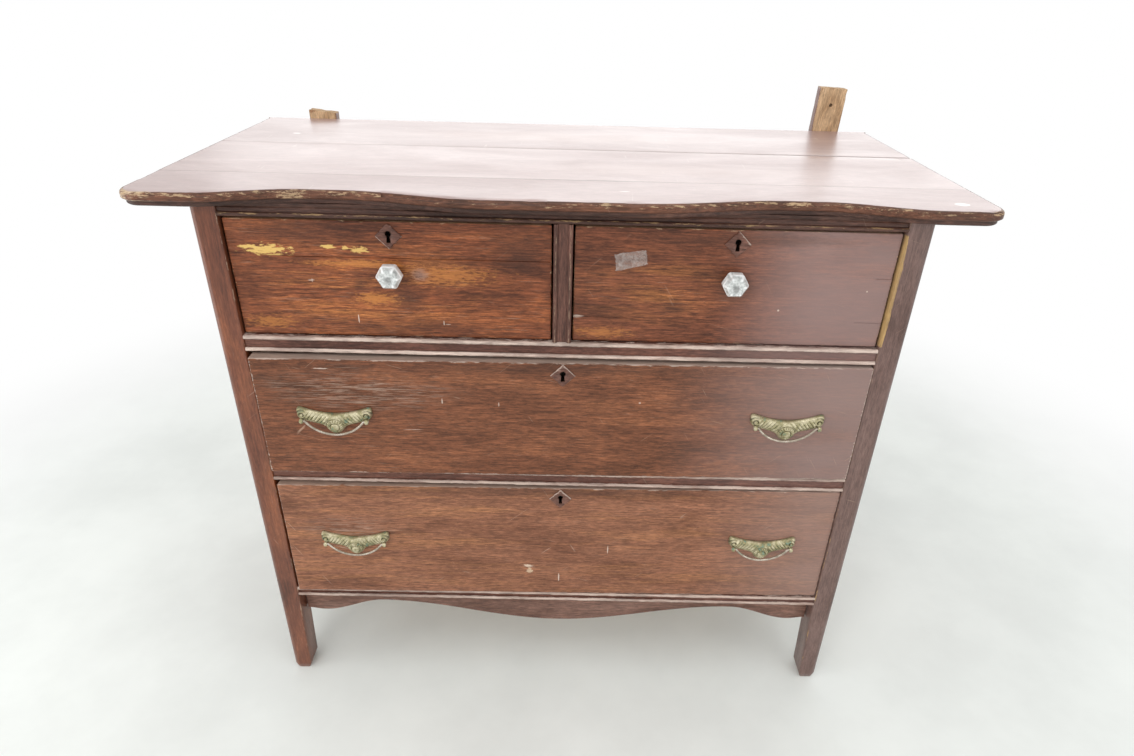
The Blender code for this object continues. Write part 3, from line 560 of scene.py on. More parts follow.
def buildPost(node, finish, split=None):
    low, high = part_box(node)
    side = 1 if high.x > 0 else -1
    front = low.y < 0
    inner, outer = (low.x, high.x) if side > 0 else (-high.x, -low.x)
    depth = high.y - low.y
    s = postShape
    points, barePlaces = [], []
    levels = shareList(0.0, s["footHeight"], s["footSlice"])[:-1]
    levels += shareList(s["footHeight"], s["legHeight"], s["slice"])[:-1]
    levels += shareList(s["legHeight"], high.z, s["slice"])
    if split:
        levels += [e + d for e in split for d in (-s["splitEnd"], s["splitEnd"])]
        levels += shareList(split[0] + s["splitLead"], split[1] - s["splitLead"], s["splitSlice"])
        levels.sort()
    ringSize = 0
    for z in levels:
        foot = s["footIn"] * max(0.0, 1 - z / s["footHeight"])
        taper = s["legTaper"] * max(0.0, 1 - z / s["legHeight"])
        near, far = foot, depth - foot
        left, right = inner + foot + taper, outer - foot
        corner = s["round"] - foot
        cutWide, cutDeep = s["arris"], s["arris"]
        opened = 0.0
        if split:
            # a ragged sliver has come away, narrower towards its upper end
            opened = min(easeStep(0, s["splitEase"], end) for end in (z - split[0], split[1] - z))
            thinFrom, thinTo = (split[1] + d for d in s["splitThins"])
            fullness = easeStep(thinFrom, thinTo, z)
            rough = sum(size * roughNoise((0, 0, z), scale, seed) for size, scale, seed in s["splitRough"])
            ragged = clampTo(s["splitLeast"], 1.0, s["splitShare"] + s["splitMore"] * fullness + rough)
            cutWide += (s["splitWidth"] * ragged - cutWide) * opened
            cutDeep += (s["splitDepth"] * ragged - cutDeep) * opened
        knock = max(0.0, roughNoise((side, front, z), s["chipScale"], 9.0) - s["chipAbove"])
        knock *= s["chipDepth"] * (1 - opened)
        footKnock = s["footChip"] * max(0.0, 1 - z / s["footChipHeight"])
        cutWide += knock + footKnock * max(0.0, roughNoise((side, 2, z), s["footChipScale"]))
        cutDeep += knock + footKnock * max(0.0, roughNoise((side, 5, z), s["footChipScale"]))
        ring = [(left, near + cutDeep)]
        ring.append((left + cutWide * s["cutHollow"], near + cutDeep * s["cutHollow"]))
        ring.append((left + cutWide, near))
        start = left + cutWide + s["splitRim"]
        ring += [(start + (right - corner - start) * i / 4, near) for i in (0, 1, 2, 3)]
        ring += arcPoints((right - corner, near + corner), corner, -90, 0, s["roundFacets"])
        ring += [(right, near + corner + (far - s["arris"] - near - corner) * i / 3) for i in (1, 2, 3)]
        ring += [(right - s["arris"], far), (left + s["arris"], far), (left, far - s["arris"])]
        ring += [(left, far + (near + cutDeep - far) * i / 4) for i in (1, 2, 3)]
        ringSize = len(ring)
        for i, (across, back) in enumerate(ring):
            y = low.y + back if front else high.y - back
            points.append(Vector((side * across, y, z)))
            uneven = s["bareRough"] * roughNoise((s["bareStep"] * i, 0, z), s["bareScale"], 3.0)
            uneven = clampTo(s["bareLeast"], 1.0, s["bareShare"] + uneven)
            barePlaces.append(opened * uneven if i < 3 else 0.0)
    piece = makePiece(node + "_worn", points, loftFaces(len(levels), ringSize), finish, 40)
    faceY = low.y if front else high.y
    innerX = side * inner

    def gap(p):
        if split and split[0] < p.z < split[1]:
            return unworn
        taper = s["legTaper"] * max(0.0, 1 - p.z / s["legHeight"])
        fromArris = math.hypot(p.x - innerX - side * taper, p.y - faceY)
        return min(fromArris, s["footWear"] * p.z + s["footSpare"])

    markPoints(piece, "arris", gap)
    storePoints(piece, "bare", barePlaces)
    settle(piece, "case", "stained_wood", node)


topDrawer = squareBox("top_right_drawer_front", Matrix.Identity(4))
splitSpan = (topDrawer[0].z + postShape["splitFoot"], topDrawer[1].z - postShape["splitHead"])
buildPost("front_post_left", postWood)
buildPost("rear_post_left", postWood)
buildPost("front_post_right", postWoodRight, splitSpan)
buildPost("rear_post_right", postWoodRight)
print("posts made")


# Panels of the case

panelShape = {"arris": 0.0008, "steps": (0.02, 0.02, 0.02)}
sideWood = woodFinish("side panel stain", grain=2, streaks=0.5, wear=0.001, shift=8.0)
liningLook = dict(streaks=0.35, flecks=0.2, pores=0.35, scratches=0.2, wear=0.0, roughness=(0.62, 0.80),
                  coat=0.0, bump=0.3)
liningWood = woodFinish("drawer lining", grain=0, dark=(0.30, 0.185, 0.095), middle=(0.42, 0.275, 0.150),
                        light=(0.52, 0.360, 0.210), shift=13.0, **liningLook)
liningWoodDeep = woodFinish("drawer sides", grain=1, dark=(0.32, 0.200, 0.105), middle=(0.44, 0.290, 0.160),
                            light=(0.54, 0.375, 0.220), shift=19.0, **liningLook)
backStains = (("pale", (0.290, 0.182, 0.100), 29.0), ("dark", (0.235, 0.138, 0.074), 30.0))
backWoods = [woodFinish("back plank wood " + name, dark=scaled(0.60, colour), middle=colour,
                        light=scaled(1.35, colour), streaks=0.5, pores=0.4, scratches=0.3, wear=0.0004,
                        wearColour=(0.10, 0.06, 0.035), roughness=(0.65, 0.85), coat=0.0, shift=shift)
             for name, colour, shift in backStains]


def buildPanel(node, finish, slotName):
    low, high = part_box(node)
    points, faces = roundedBoard(low, high, panelShape["arris"], panelShape["steps"])
    piece = makePiece(node + "_board", points, faces, finish)
    markPoints(piece, "arris", lambda p: edgeGap(p, low, high))
    settle(piece, "case", slotName, node)


buildPanel("side_panel_left", sideWood, "stained_wood")
buildPanel("side_panel_right", sideWood, "stained_wood")

backShape = {"planks": 5, "joint": 0.0008, "arris": 0.0014, "steps": (0.03, 0.004, 0.02),
             "originStep": 0.37, "nailRadius": 0.0032, "nailOut": 0.0007, "nailSunk": 0.0004,
             "nailInset": 0.011, "nailDrop": 0.030, "nailFacets": 12}


def buildBack(node):
    b = backShape
    low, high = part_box(node)
    tall = (high.z - low.z) / b["planks"]
    r = b["nailRadius"]
    nailSteps = ((r, -b["nailSunk"]), (r, 0.4 * b["nailOut"]), (0.6 * r, b["nailOut"]))
    nails, nailFaces = [], []
    for k in range(b["planks"]):
        # each plank has its own origin, so its grain differs from its neighbour's
        origin = Vector((b["originStep"] * k, high.y, 0.0))
        bottom, top = low.z + tall * k, low.z + tall * (k + 1)
        plankLow = Vector((low.x, low.y, bottom + b["joint"])) - origin
        plankHigh = Vector((high.x, high.y, top - b["joint"])) - origin
        points, faces = roundedBoard(plankLow, plankHigh, b["arris"], b["steps"])
        plank = makePiece(node + "_plank_" + str(k + 1), points, faces, backWoods[k % 2], 35,
                          Matrix.Translation(origin))
        markPoints(plank, "arris", lambda p: edgeGap(p, plankLow, plankHigh))
        settle(plank, "case", "lining_wood", *((node,) if k == 0 else ()))
        for x in (low.x + b["nailInset"], 0.0, high.x - b["nailInset"]):
            for z in (bottom + b["nailDrop"], top - b["nailDrop"]):
                nailFaces += shiftFaces(loftFaces(len(nailSteps), b["nailFacets"]), len(nails))
                nails += turnedPoints(Vector((x, high.y, z)), nailSteps, b["nailFacets"])
    return nails, nailFaces


backNails = buildBack("back_panel")

easedArris = {"dust": 0.0006, "box": 0.0008, "bottom": 0.0004, "lock": 0.0005}


def dressNode(node, finish, arris):
    # a solid that keeps its own shape gets eased arrises and a finish
    nodes[node].data.materials.clear()
    nodes[node].data.materials.append(finish)
    bevel = nodes[node].modifiers.new("eased arris", "BEVEL")
    bevel.width = arris
    bevel.segments = 2
    bevel.limit_method = "ANGLE"


drawers = ("top_left_drawer", "top_right_drawer", "middle_drawer", "bottom_drawer")
for level in ("upper", "middle", "bottom"):
    dressNode("dust_panel_" + level, liningWood, easedArris["dust"])
for drawer in drawers:
    dressNode(drawer + "_left_side", liningWoodDeep, easedArris["box"])
    dressNode(drawer + "_right_side", liningWoodDeep, easedArris["box"])
    dressNode(drawer + "_back", liningWood, easedArris["box"])
    dressNode(drawer + "_bottom", liningWood, easedArris["bottom"])
print("panels and drawer boxes made")


# Rails and the upright divider, swept from beaded profiles

beadShape = {"radius": 0.003, "proud": 0.001, "setBack": 0.003, "facets": 10, "groove": 0.0012,
             "slice": 0.005, "dent": 0.00025, "dentScale": 40.0, "dentMore": 0.15, "near": 0.0001,
             "wornAndLitOut": 0.3, "wornAndLitUp": 0.6}       # shares of the radius
railLook = dict(dark=(0.060, 0.026, 0.019), middle=(0.115, 0.047, 0.033), light=(0.185, 0.078, 0.052),
                streaks=0.5, wearPatchy=0.50, scratches=0.2)
# pale bead wear is partly real rubbing and partly a painted highlight along the beads' upper side; the grey
# towards the right is bloomed varnish with a painted sheen
railWood = woodFinish("rail stain", wear=0.0040, wearEven=0.75, wearStrength=0.80, wearSoft=0.0026,
                      wearColour=(0.740, 0.590, 0.500), haze=0.14, hazeSpan=(0.10, 0.32), shift=37.0,
                      **railLook)
palestRail = woodFinish("upper rail stain", wear=0.0046, wearEven=0.85, wearStrength=0.92, wearSoft=0.0024,
                        wearColour=(0.780, 0.630, 0.540), haze=0.36, hazeSpan=(0.14, 0.32), shift=39.0,
                        **railLook)
# the frieze stain is darkened with painted shade, as it sits under the top's overhang
friezeStainAndShade = woodFinish("frieze stain and painted shade", dark=(0.038, 0.019, 0.014), middle=(0.064, 0.030, 0.022),
                        light=(0.110, 0.050, 0.034), streaks=0.5, wear=0.0014,
                        wearColour=(0.440, 0.290, 0.140), scratches=0.3, shift=43.0)
dividerWood = woodFinish("divider stain", grain=2, dark=(0.075, 0.034, 0.025), middle=(0.130, 0.058, 0.042),
                         light=(0.190, 0.088, 0.062), streaks=0.45, wear=0.0010,
                         wearColour=(0.400, 0.270, 0.180), scratches=0.25, shift=47.0)


def beadArc(level):
    b = beadShape
    return arcPoints((b["radius"] - b["proud"], level), b["radius"], 270, 90, b["facets"])


def buildRail(node, finish, frieze=False):
    low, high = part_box(node)
    b = beadShape
    height, depth = high.z - low.z, high.y - low.y - b["proud"]
    face = low.y + b["proud"]
    field, r = b["setBack"], b["radius"]
    outline = [(depth, 0.0)] + beadArc(r)
    beads = [r]
    if frieze:
        middle, g = (2 * r + height) / 2, b["groove"]
        outline += [(field, 2 * r), (field, middle - g), (field + g, middle), (field, middle + g)]
        outline.append((field, height))
    else:
        outline += [(field, 2 * r), (field, height / 2), (field, height - 2 * r)] + beadArc(height - r)
        beads.append(height - r)
    outline.append((depth, height))
    places = shareList(low.x, high.x, b["slice"])
    points = []
    for x in places:
        for y, z in outline:
            dent = 0.0
            if y < field:
                rough = roughNoise((x, y, z + low.z), b["dentScale"], 3.0)
                dent = b["dent"] * max(0.0, rough + b["dentMore"])
            points.append(Vector((x, face + y + dent, low.z + z)))
    piece = makePiece(node + "_worn", points, loftFaces(len(places), len(outline)), finish, 50)

    def gap(p):
        # rubbed most on the front and upper side of each bead, with a painted highlight along the upper
        # side
        spots = [math.hypot(p.y - face + b["wornAndLitOut"] * r, p.z - low.z - level - b["wornAndLitUp"] * r)
                 for level in beads]
        return min(spots) if p.y - face < field - b["near"] else unworn

    markPoints(piece, "arris", gap)
    settle(piece, "case", "stained_wood", node)


buildRail("upper_drawer_rail", palestRail)
buildRail("middle_drawer_rail", railWood)
buildRail("bottom_rail", railWood)
buildRail("frieze_rail", friezeStainAndShade, frieze=True)

dividerShape = {"depth": 0.030, "partition": 0.018}


def buildDivider(node):
    low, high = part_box(node)
    b, d = beadShape, dividerShape
    face = low.y + b["proud"]
    edge, skin = high.x, d["partition"] / 2
    r, level = b["radius"], b["radius"] - b["proud"]
    outline = arcPoints((-edge + r, level), r, 180, 360, b["facets"])
    outline += [(-edge + 2 * r, b["setBack"]), (0.0, b["setBack"]), (edge - 2 * r, b["setBack"])]
    outline += arcPoints((edge - r, level), r, 180, 360, b["facets"])
    back = high.y - face
    outline += [(edge, d["depth"]), (skin, d["depth"]), (skin, back), (-skin, back), (-skin, d["depth"]),
                (-edge, d["depth"])]
    places = shareList(low.z, high.z, b["slice"])
    points = []
    for z in places:
        for x, y in outline:
            dent = b["dent"] * max(0.0, roughNoise((x, y, z), b["dentScale"], 6.0)) if y < level else 0.0
            points.append(Vector((x, face + y + dent, z)))
    piece = makePiece(node + "_worn", points, loftFaces(len(places), len(outline)), dividerWood, 50)
    crest = edge - r
    markPoints(piece, "arris", lambda p: math.hypot(abs(p.x) - crest, p.y - face + b["proud"]))
    settle(piece, "case", "stained_wood", node)


buildDivider("centre_divider")


# Apron, its lower edge drawn from the middle out: centre, arch, lobe, end

apronShape = {"centre": 0.069, "arch": 0.031, "lobe": 0.056, "end": 0.052, "lobeLength": 0.030,
              "riseLength": 0.105, "step": 0.004, "upperStep": 0.02, "arris": 0.0014}
apronWood = woodFinish("apron stain", dark=(0.110, 0.052, 0.036), middle=(0.190, 0.098, 0.072),
                       light=(0.250, 0.135, 0.100), streaks=0.4, wear=0.0007, scratches=0.35, shift=53.0)


def buildApron(node):
    low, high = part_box(node)
    a = apronShape
    half, top = high.x, high.z
    lobe, arch = half - a["lobeLength"], half - a["lobeLength"] - a["riseLength"]
    stretches = ((0.0, arch, a["centre"], a["arch"]), (arch, lobe, a["arch"], a["lobe"]),
                 (lobe, half, a["lobe"], a["end"]))
    base = low.z + a["centre"]
    lower = []
    for start, end, high0, low0 in stretches:
        for x in shareList(start, end, a["step"])[:-1]:
            lower.append((x, base - swingCurve(high0, low0, (x - start) / (end - start))))
    lower.append((half, base - a["end"]))
    upper = [(x, top) for x in shareList(half, -half, a["upperStep"])]
    outline = lower + upper + [(-x, z) for x, z in reversed(lower[1:])]
    e = a["arris"]
    profile = [(low.y, e), (low.y + 0.3 * e, 0.3 * e), (low.y + e, 0.0), (high.y - e, 0.0), (high.y, e)]
    points, faces = slabRings(outline, profile)
    for p in points:
        p.x = clampTo(low.x, high.x, p.x)
        p.z = clampTo(low.z, high.z, p.z)
    piece = makePiece(node + "_worn", points, faces, apronWood, 40)
    levels = sorted(lower)

    def gap(p):
        x = abs(p.x)
        edge = next((z for u, z in levels if u >= x), levels[-1][1])
        return math.hypot(p.z - edge, p.y - low.y)

    markPoints(piece, "arris", gap)
    settle(piece, "case", "stained_wood", node)


buildApron("apron")
print("rails, divider and apron made")


# Top of three boards with a serpentine moulded edge

topShape = {"dip": 0.028, "dipLength": 0.040, "bow": 0.190, "outerSweep": 0.145, "wing": 0.077,
            "corner": 0.028, "cornerSteps": 16, "step": 0.006, "lip": 0.012, "lipRound": 0.005,
            "fillet": 0.005, "chip": 0.0042, "chipScale": 38.0, "chipAbove": 0.20, "chipInset": 0.006,
            "chipReach": 0.004, "faceRings": (0.009, 0.016, 0.024), "crack": 0.0014, "crackFrom": 0.18,
            "near": 0.0005, "skin": 0.002, "coveEase": 0.0006, "lipFlat": 0.002, "endSpared": 0.7,
            "endSpan": (-0.03, -0.004), "chipLean": 0.4, "chipAim": 0.05, "chipFall": 0.8,
            "rimReach": 0.03, "rimFall": 0.6, "jointWithin": 0.2, "sagMiddle": 0.3, "sagBack": 0.25,
            "notch": (-0.2248, -0.0203), "notchDepth": 0.0016, "notchSharp": 0.0005}
edgeWood = woodFinish("top edge stain", dark=(0.055, 0.023, 0.013), middle=(0.105, 0.042, 0.024),
                      light=(0.165, 0.068, 0.038), streaks=0.5, wear=0.0023, wearEven=0.5,
                      wearColour=(0.600, 0.420, 0.250), scratches=0.2, shift=57.0, markPlane=(0, 1),
                      marks=((-0.512, -0.2560, 0.030, 0.013, 1.9, 0.4, (0.66, 0.50, 0.33), 0.85),
                             (-0.335, -0.2500, 0.018, 0.012, 4.6, 0.3, (0.58, 0.41, 0.24), 0.55),
                             (0.505, -0.2540, 0.030, 0.010, 4.0, 0.4, (0.60, 0.43, 0.26), 0.70)))
jointColour, palePatch = (0.130, 0.055, 0.042), (0.84, 0.82, 0.78)
# the top's shades carry a painted pale reflection of the bright room, washed over the wood's own tone
topShadesAndSheen = ((0.335, 0.215, 0.197), (0.390, 0.266, 0.246), (0.465, 0.330, 0.306))
topLooks = {
    "top_board_front": {
        "tone": 1.03,
        "marks": ((0.4954, -0.2325, 0.0105, 0.0075, 0.5, 0.25, palePatch, 0.9),
                  (0.0765, -0.2100, 0.0075, 0.0016, 1.2, 0.4, palePatch, 0.8))},
    "top_board_middle": {
        "tone": 1.06,
        "marks": ((0.15, -0.09, 0.30, 0.05, 0.9, 0.9, (0.52, 0.37, 0.33), 0.4),)},
    "top_board_back": {
        "tone": 1.0,
        "marks": ((-0.05, 0.13, 0.35, 0.07, 0.9, 0.9, (0.52, 0.36, 0.31), 0.4),
                  (-0.445, 0.110, 0.008, 0.004, 1.5, 0.4, palePatch, 0.7))},
}


def topFinish(node):
    low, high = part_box(node)
    look = topLooks[node]
    joints = []
    for y in (low.y, high.y):
        if abs(y) < topShape["jointWithin"]:
            # a glued joint shows faintly all along, and darker over one stretch
            joints.append((0.0, y, 1.2, 0.0026, 1.2, 0.7, jointColour, 0.35))
            joints.append((0.42 if y > 0 else 0.02, y, 0.16, 0.0026, 1.2, 0.7, jointColour, 0.65))
    dark, middle, light = (scaled(look["tone"], shade) for shade in topShadesAndSheen)
    return woodFinish(node.replace("_", " ") + " stain", dark=dark, middle=middle, light=light,
                      cloudSize=(3.6, 11.0), streaks=0.12, flecks=0.12, pores=0.12, paleGrain=0.10,
                      wear=0.0018, wearEven=0.05, wearColour=(0.520, 0.340, 0.190), scratches=0.4,
                      scratchColour=(0.66, 0.58, 0.52), gloss=0.45, roughness=(0.32, 0.46), coat=0.85,
                      coatRoughness=0.31, bump=0.12, markPlane=(0, 1), marks=(*joints, *look["marks"]),
                      shift=59.0 + low.y)


def topEdge(half, front, back):
    # right half of the edge, from the middle of the front round to the back
    t = topShape
    bow, wing = t["bow"] / 2, half - t["wing"]
    dipEnd = wing - t["outerSweep"]
    dipStart = dipEnd - t["dipLength"]
    dip = front + t["dip"]
    edge = [(x, front) for x in shareList(0.0, bow, t["step"])[:-1]]
    edge += [(x, swingCurve(front, dip, (x - bow) / (dipStart - bow)))
             for x in shareList(bow, dipStart, t["step"])[:-1]]
    edge += [(x, dip) for x in shareList(dipStart, dipEnd, t["step"])[:-1]]
    edge += [(x, swingCurve(dip, front, (x - dipEnd) / (wing - dipEnd)))
             for x in shareList(dipEnd, wing, t["step"])[:-1]]
    edge += [(x, front) for x in shareList(wing, half - t["corner"], t["step"])[:-1]]
    edge += arcPoints((half - t["corner"], front + t["corner"]), t["corner"], -90, 0, t["cornerSteps"])[:-1]
    edge += [(half, y) for y in shareList(front + t["corner"], back, t["step"])]
    for x in sorted(abs(n) + d for n in t["notch"] for d in (-t["notchSharp"], t["notchSharp"])):
        at = next(i for i, spot in enumerate(edge) if spot[0] > x)
        (x0, y0), (x1, y1) = edge[at - 1], edge[at]
        edge.insert(at, (x, y0 + (y1 - y0) * (x - x0) / (x1 - x0)))
    return edge


def buildTop():
    t = topShape
    boxes = {n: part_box(n) for n in ("top_board_front", "top_board_middle", "top_board_back")}
    low = Vector(min(b[0][k] for b in boxes.values()) for k in range(3))
    high = Vector(max(b[1][k] for b in boxes.values()) for k in range(3))
    edge = topEdge(high.x, low.y, high.y)
    outline = edge + [(-x, y) for x, y in reversed(edge[1:])]
    thick = high.z - low.z
    under, f, r = thick - t["lip"], t["fillet"], t["lipRound"]
    profile = [(0.0, f + under / 3), (under / 6, f + t["coveEase"]), (under / 3, f), (under / 2, f),
               (under, f)]
    underRings = len(profile)
    profile += [(under + f * s, f * (1 - i / 4)) for i, s in ((1, 0.06), (2, 0.14), (3, 0.28))]
    profile += [(under + f / 2, 0.0), (under + f / 2 + t["lipFlat"], 0.0), (thick - r, 0.0)]
    profile += [(thick - r + r * math.sin(math.radians(a)), r - r * math.cos(math.radians(a)))
                for a in (15, 30, 45, 60, 75, 90)]
    profile += [(thick, inset) for inset in t["faceRings"]]
    backIn = high.y - t["near"]
    endFrom, endTo = (high.x + d for d in t["endSpan"])
    points, faces = slabRings(outline, profile, lambda u, v, w: Vector((u, min(v, high.y), low.z + w)))
    count = len(outline)
    for i, p in enumerate(points):
        spot = outline[i % count]
        if spot[1] > backIn:
            p.y = high.y                        # the back edge is plain
            continue
        reach = 0.0
        if profile[i // count][1] < t["chipInset"]:
            reach = easeStep(t["chipReach"], 0.0, abs(p.z - low.z - thick + t["skin"]))
        rough = roughNoise((p.x, p.y, 0.4 * p.z), t["chipScale"], 5.0)
        bite = max(0.0, rough - t["chipAbove"]) * t["chip"] * reach
        bite *= 1 - t["endSpared"] * easeStep(endFrom, endTo, abs(p.x))
        if t["notch"][0] < p.x < t["notch"][1] and p.y < 0:
            bite += t["notchDepth"] * reach      # a strip of the lip has come away
        toward = Vector((-p.x * t["chipLean"], t["chipAim"] - p.y, 0.0)).normalized()
        p += toward * bite
        p.z -= t["chipFall"] * bite
    whole = bmesh.new()
    mesh = bpy.data.meshes.new("top_whole")
    mesh.from_pydata([tuple(p) for p in points], [], faces)
    whole.from_mesh(mesh)
    bpy.data.meshes.remove(mesh)
    upper = next(i for i, step in enumerate(profile) if step[1] >= r and step[0] == thick) * count
    last = len(whole.faces) - 1
    for i, face in enumerate(whole.faces):
        face.material_index = 0 if upper <= i < last - 1 or i == last else 1
        if i < underRings * count:
            face.material_index = 2              # painted shade under the lip, with the dark frieze finish
    for node, (boardLow, boardHigh) in boxes.items():
        board = whole.copy()
        cuts = []
        if node != "top_board_front":
            cuts.append((boardLow.y, -1))
        if node != "top_board_back":
            cuts.append((boardHigh.y, 1))
        for y, facing in cuts:
            geometry = board.verts[:] + board.edges[:] + board.faces[:]
            found = bmesh.ops.bisect_plane(board, geom=geometry, plane_co=(0, y, 0),
                                           plane_no=(0, facing, 0), clear_outer=True)
            rim = [e for e in found["geom_cut"] if isinstance(e, bmesh.types.BMEdge)]
            bmesh.ops.edgeloop_fill(board, edges=rim)
        # the joint between the rear boards has opened at the right
        for v in board.verts:
            opening = t["crack"] * easeStep(t["crackFrom"], high.x, v.co.x)
            onTop = v.co.z > high.z - t["skin"]
            if node == "top_board_middle" and v.co.y > boardHigh.y - t["near"]:
                v.co.y -= opening
                v.co.z -= t["sagMiddle"] * opening if onTop else 0.0
            if node == "top_board_back" and v.co.y < boardLow.y + t["near"] and onTop:
                v.co.z -= t["sagBack"] * t["crack"]
        final = bpy.data.meshes.new(node + "_worn")
        bmesh.ops.recalc_face_normals(board, faces=board.faces)
        board.to_mesh(final)
        board.free()
        smoothMesh(final, 40)
        for finish in (topFinish(node), edgeWood, friezeStainAndShade):
            final.materials.append(finish)
        piece = placeObject(node + "_worn", final)

        def gap(p):
            # distance to the moulded edge, found among its nearby stretches
            place = Vector((abs(p.x), p.y))
            rim = reach = t["rimReach"]
            for start, end in zip(edge, edge[1:]):
                if abs(start[0] - place.x) < reach and abs(start[1] - place.y) < reach:
                    run = Vector(end) - Vector(start)
                    share = clampTo(0, 1, (place - Vector(start)).dot(run) / run.length_squared)
                    rim = min(rim, (place - Vector(start) - share * run).length)
            return math.hypot(rim, t["rimFall"] * (high.z - p.z))

        markPoints(piece, "arris", gap)
        settle(piece, "case", "top_wood", node)
    whole.free()


buildTop()
print("top made")


# Mirror posts, sawn off above the top

mirrorShape = {"width": 0.048, "thick": 0.020, "below": 0.300, "arris": 0.0012, "top": 0.867,
               "steps": (0.006, 0.005, 0.008), "sawnReach": 0.03, "sawnRough": 0.0006,
               "chips": {"reach": 0.005, "scale": 90.0, "seed": 2.0, "above": 0.2, "depth": 0.0028},
               "right": {"across": 0.468, "above": 0.074, "lean": 2.8, "saw": 0.0, "hole": 0.029},
               "left": {"across": -0.444, "above": 0.013, "lean": 0.0, "saw": 6.0, "hole": None},
               "holeRadius": 0.0032, "screws": (0.060, 0.240), "screwRadius": 0.0048, "screwSunk": 0.0022,
               "screwOff": 0.0001, "screwFree": 0.0004, "headFrom": 0.0007, "headTo": 0.0004,
               "headEase": 0.0012, "cutOver": 0.005, "sideNear": 0.002, "sideFacing": 0.8}
mirrorWood = woodFinish("sawn mirror post", grain=2, dark=(0.330, 0.200, 0.105),
                        middle=(0.520, 0.350, 0.205), light=(0.640, 0.460, 0.300), streaks=0.4, flecks=0.3,
                        pores=0.5, wear=0.002, wearColour=(0.30, 0.14, 0.07), scratches=0.4,
                        scratchColour=(0.25, 0.13, 0.07), roughness=(0.65, 0.85), coat=0.0, bump=0.5,
                        shift=61.0)


def buildMirrorPost(side):
    m, s = mirrorShape, mirrorShape[side]
    node = "mirror_post_" + side
    low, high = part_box(node)
    half, thick = m["width"] / 2, m["thick"] / 2
    boardLow, boardHigh = Vector((-half, -thick, -m["below"])), Vector((half, thick, s["above"]))
    points, faces = roundedBoard(boardLow, boardHigh, m["arris"], m["steps"])
    chipBoard(points, boardLow, boardHigh, m["chips"])
    slope = math.tan(math.radians(s["saw"]))
    for p in points:
        share = easeStep(s["above"] - m["sawnReach"], s["above"], p.z)
        p.z -= p.x * slope * share + share * m["sawnRough"] * (1 + roughNoise((p.x, p.y, 0), 220.0))
    stand = Matrix.Translation((s["across"], (low.y + high.y) / 2, m["top"]))
    matrix = stand @ Matrix.Rotation(math.radians(s["lean"]), 4, "Y")
    piece = makePiece(node + "_sawn", points, faces, mirrorWood, 35, matrix)
    if s["hole"]:
        ring = arcPoints((0.0, s["above"] - s["hole"]), m["holeRadius"], 0, 345, 23)
        cutOut(piece, makeCutter("mirror_hole", ring, -2 * thick, 2 * thick, mirrorWood, matrix))
    screws, screwFaces = [], []
    sunk = thick - m["screwSunk"]
    headSteps = [(sunk + m["screwOff"], m["screwFree"]), (thick - m["headFrom"], m["screwFree"]),
                 (thick - m["headTo"], m["headEase"])]
    for drop in m["screws"]:
        # countersunk, with the head a little below the face
        ring = arcPoints((0.0, -drop), m["screwRadius"], 0, 345, 23)
        cutOut(piece, makeCutter("mirror_countersink", ring, sunk, thick + m["cutOver"], mirrorWood,
                                 matrix))
        head, headFaces = slabRings(ring, headSteps)
        screwFaces += shiftFaces(headFaces, len(screws))
        screws += head
    smoothMesh(piece.data, 35)
    piece.data.materials.append(postWood)
    stained = len(piece.data.materials) - 1
    for face in piece.data.polygons:
        onSide = abs(abs(face.center.x) - half) < m["sideNear"]
        if onSide and abs(face.normal.x) > m["sideFacing"]:
            face.material_index = stained
    markPoints(piece, "arris", lambda p: edgeGap(p, boardLow, boardHigh))
    settle(piece, "case", "raw_wood", node)
    return node + "_screws", screws, screwFaces, matrix


mirrorScrews = [buildMirrorPost("left"), buildMirrorPost("right")]
print("mirror posts made")


# Drawer fronts with their keyholes and diamond plates

frontShape = {
    "arris": 0.002, "steps": (0.006, 0.005, 0.009), "warp": 0.0004, "splitWide": 0.0007,
    "chips": {"reach": 0.004, "scale": 130.0, "above": 0.25, "depth": 0.0014},
    "keyRadius": 0.0040, "slotWidth": 0.0044, "slotLength": 0.0120, "slotFlare": 0.0006, "keyLift": 0.003,
    "keyDrop": 0.019, "keyOver": 0.01, "plateHalf": 0.0175, "plateThick": 0.0016, "plateSteps": 12,
    "plateChip": 0.10, "plateChipScale": 160.0, "plateChipAbove": 0.1, "plateChipReach": 0.004,
    "gap": 0.0003, "endTrim": 0.0003, "tailPitch": 0.030, "tailRun": 0.013, "tailNeck": 0.0070,
    "tailEnd": 0.0098, "tailProud": 0.00025, "tailSunk": 0.0006, "tailEase": 0.0003, "tailSquare": 0.6,
    "plateProfile": ((0.6, 0.0), (0.2, 0.0004), (0.0, 0.0010), (0.0, 0.0017)),   # share of thickness, inset
    "plateSlope": 0.7, "plateSpare": 0.0016, "warpScale": 3.0, "near": 0.0005, "touch": 0.0001,
    "topBareAndLit": 0.6, "topSkin": 0.0004, "topBehind": 0.001,
}
# darkPatchAndPaintedShade darkens both darker patches of stain and painted shadow or shade, as noted at
# each drawer
yellowPaint, darkPatchAndPaintedShade, amber = (0.680, 0.450, 0.140), (0.050, 0.022, 0.014), (0.520, 0.200, 0.050)
paleNick, greyBloom = (0.620, 0.500, 0.420), (0.260, 0.200, 0.190)
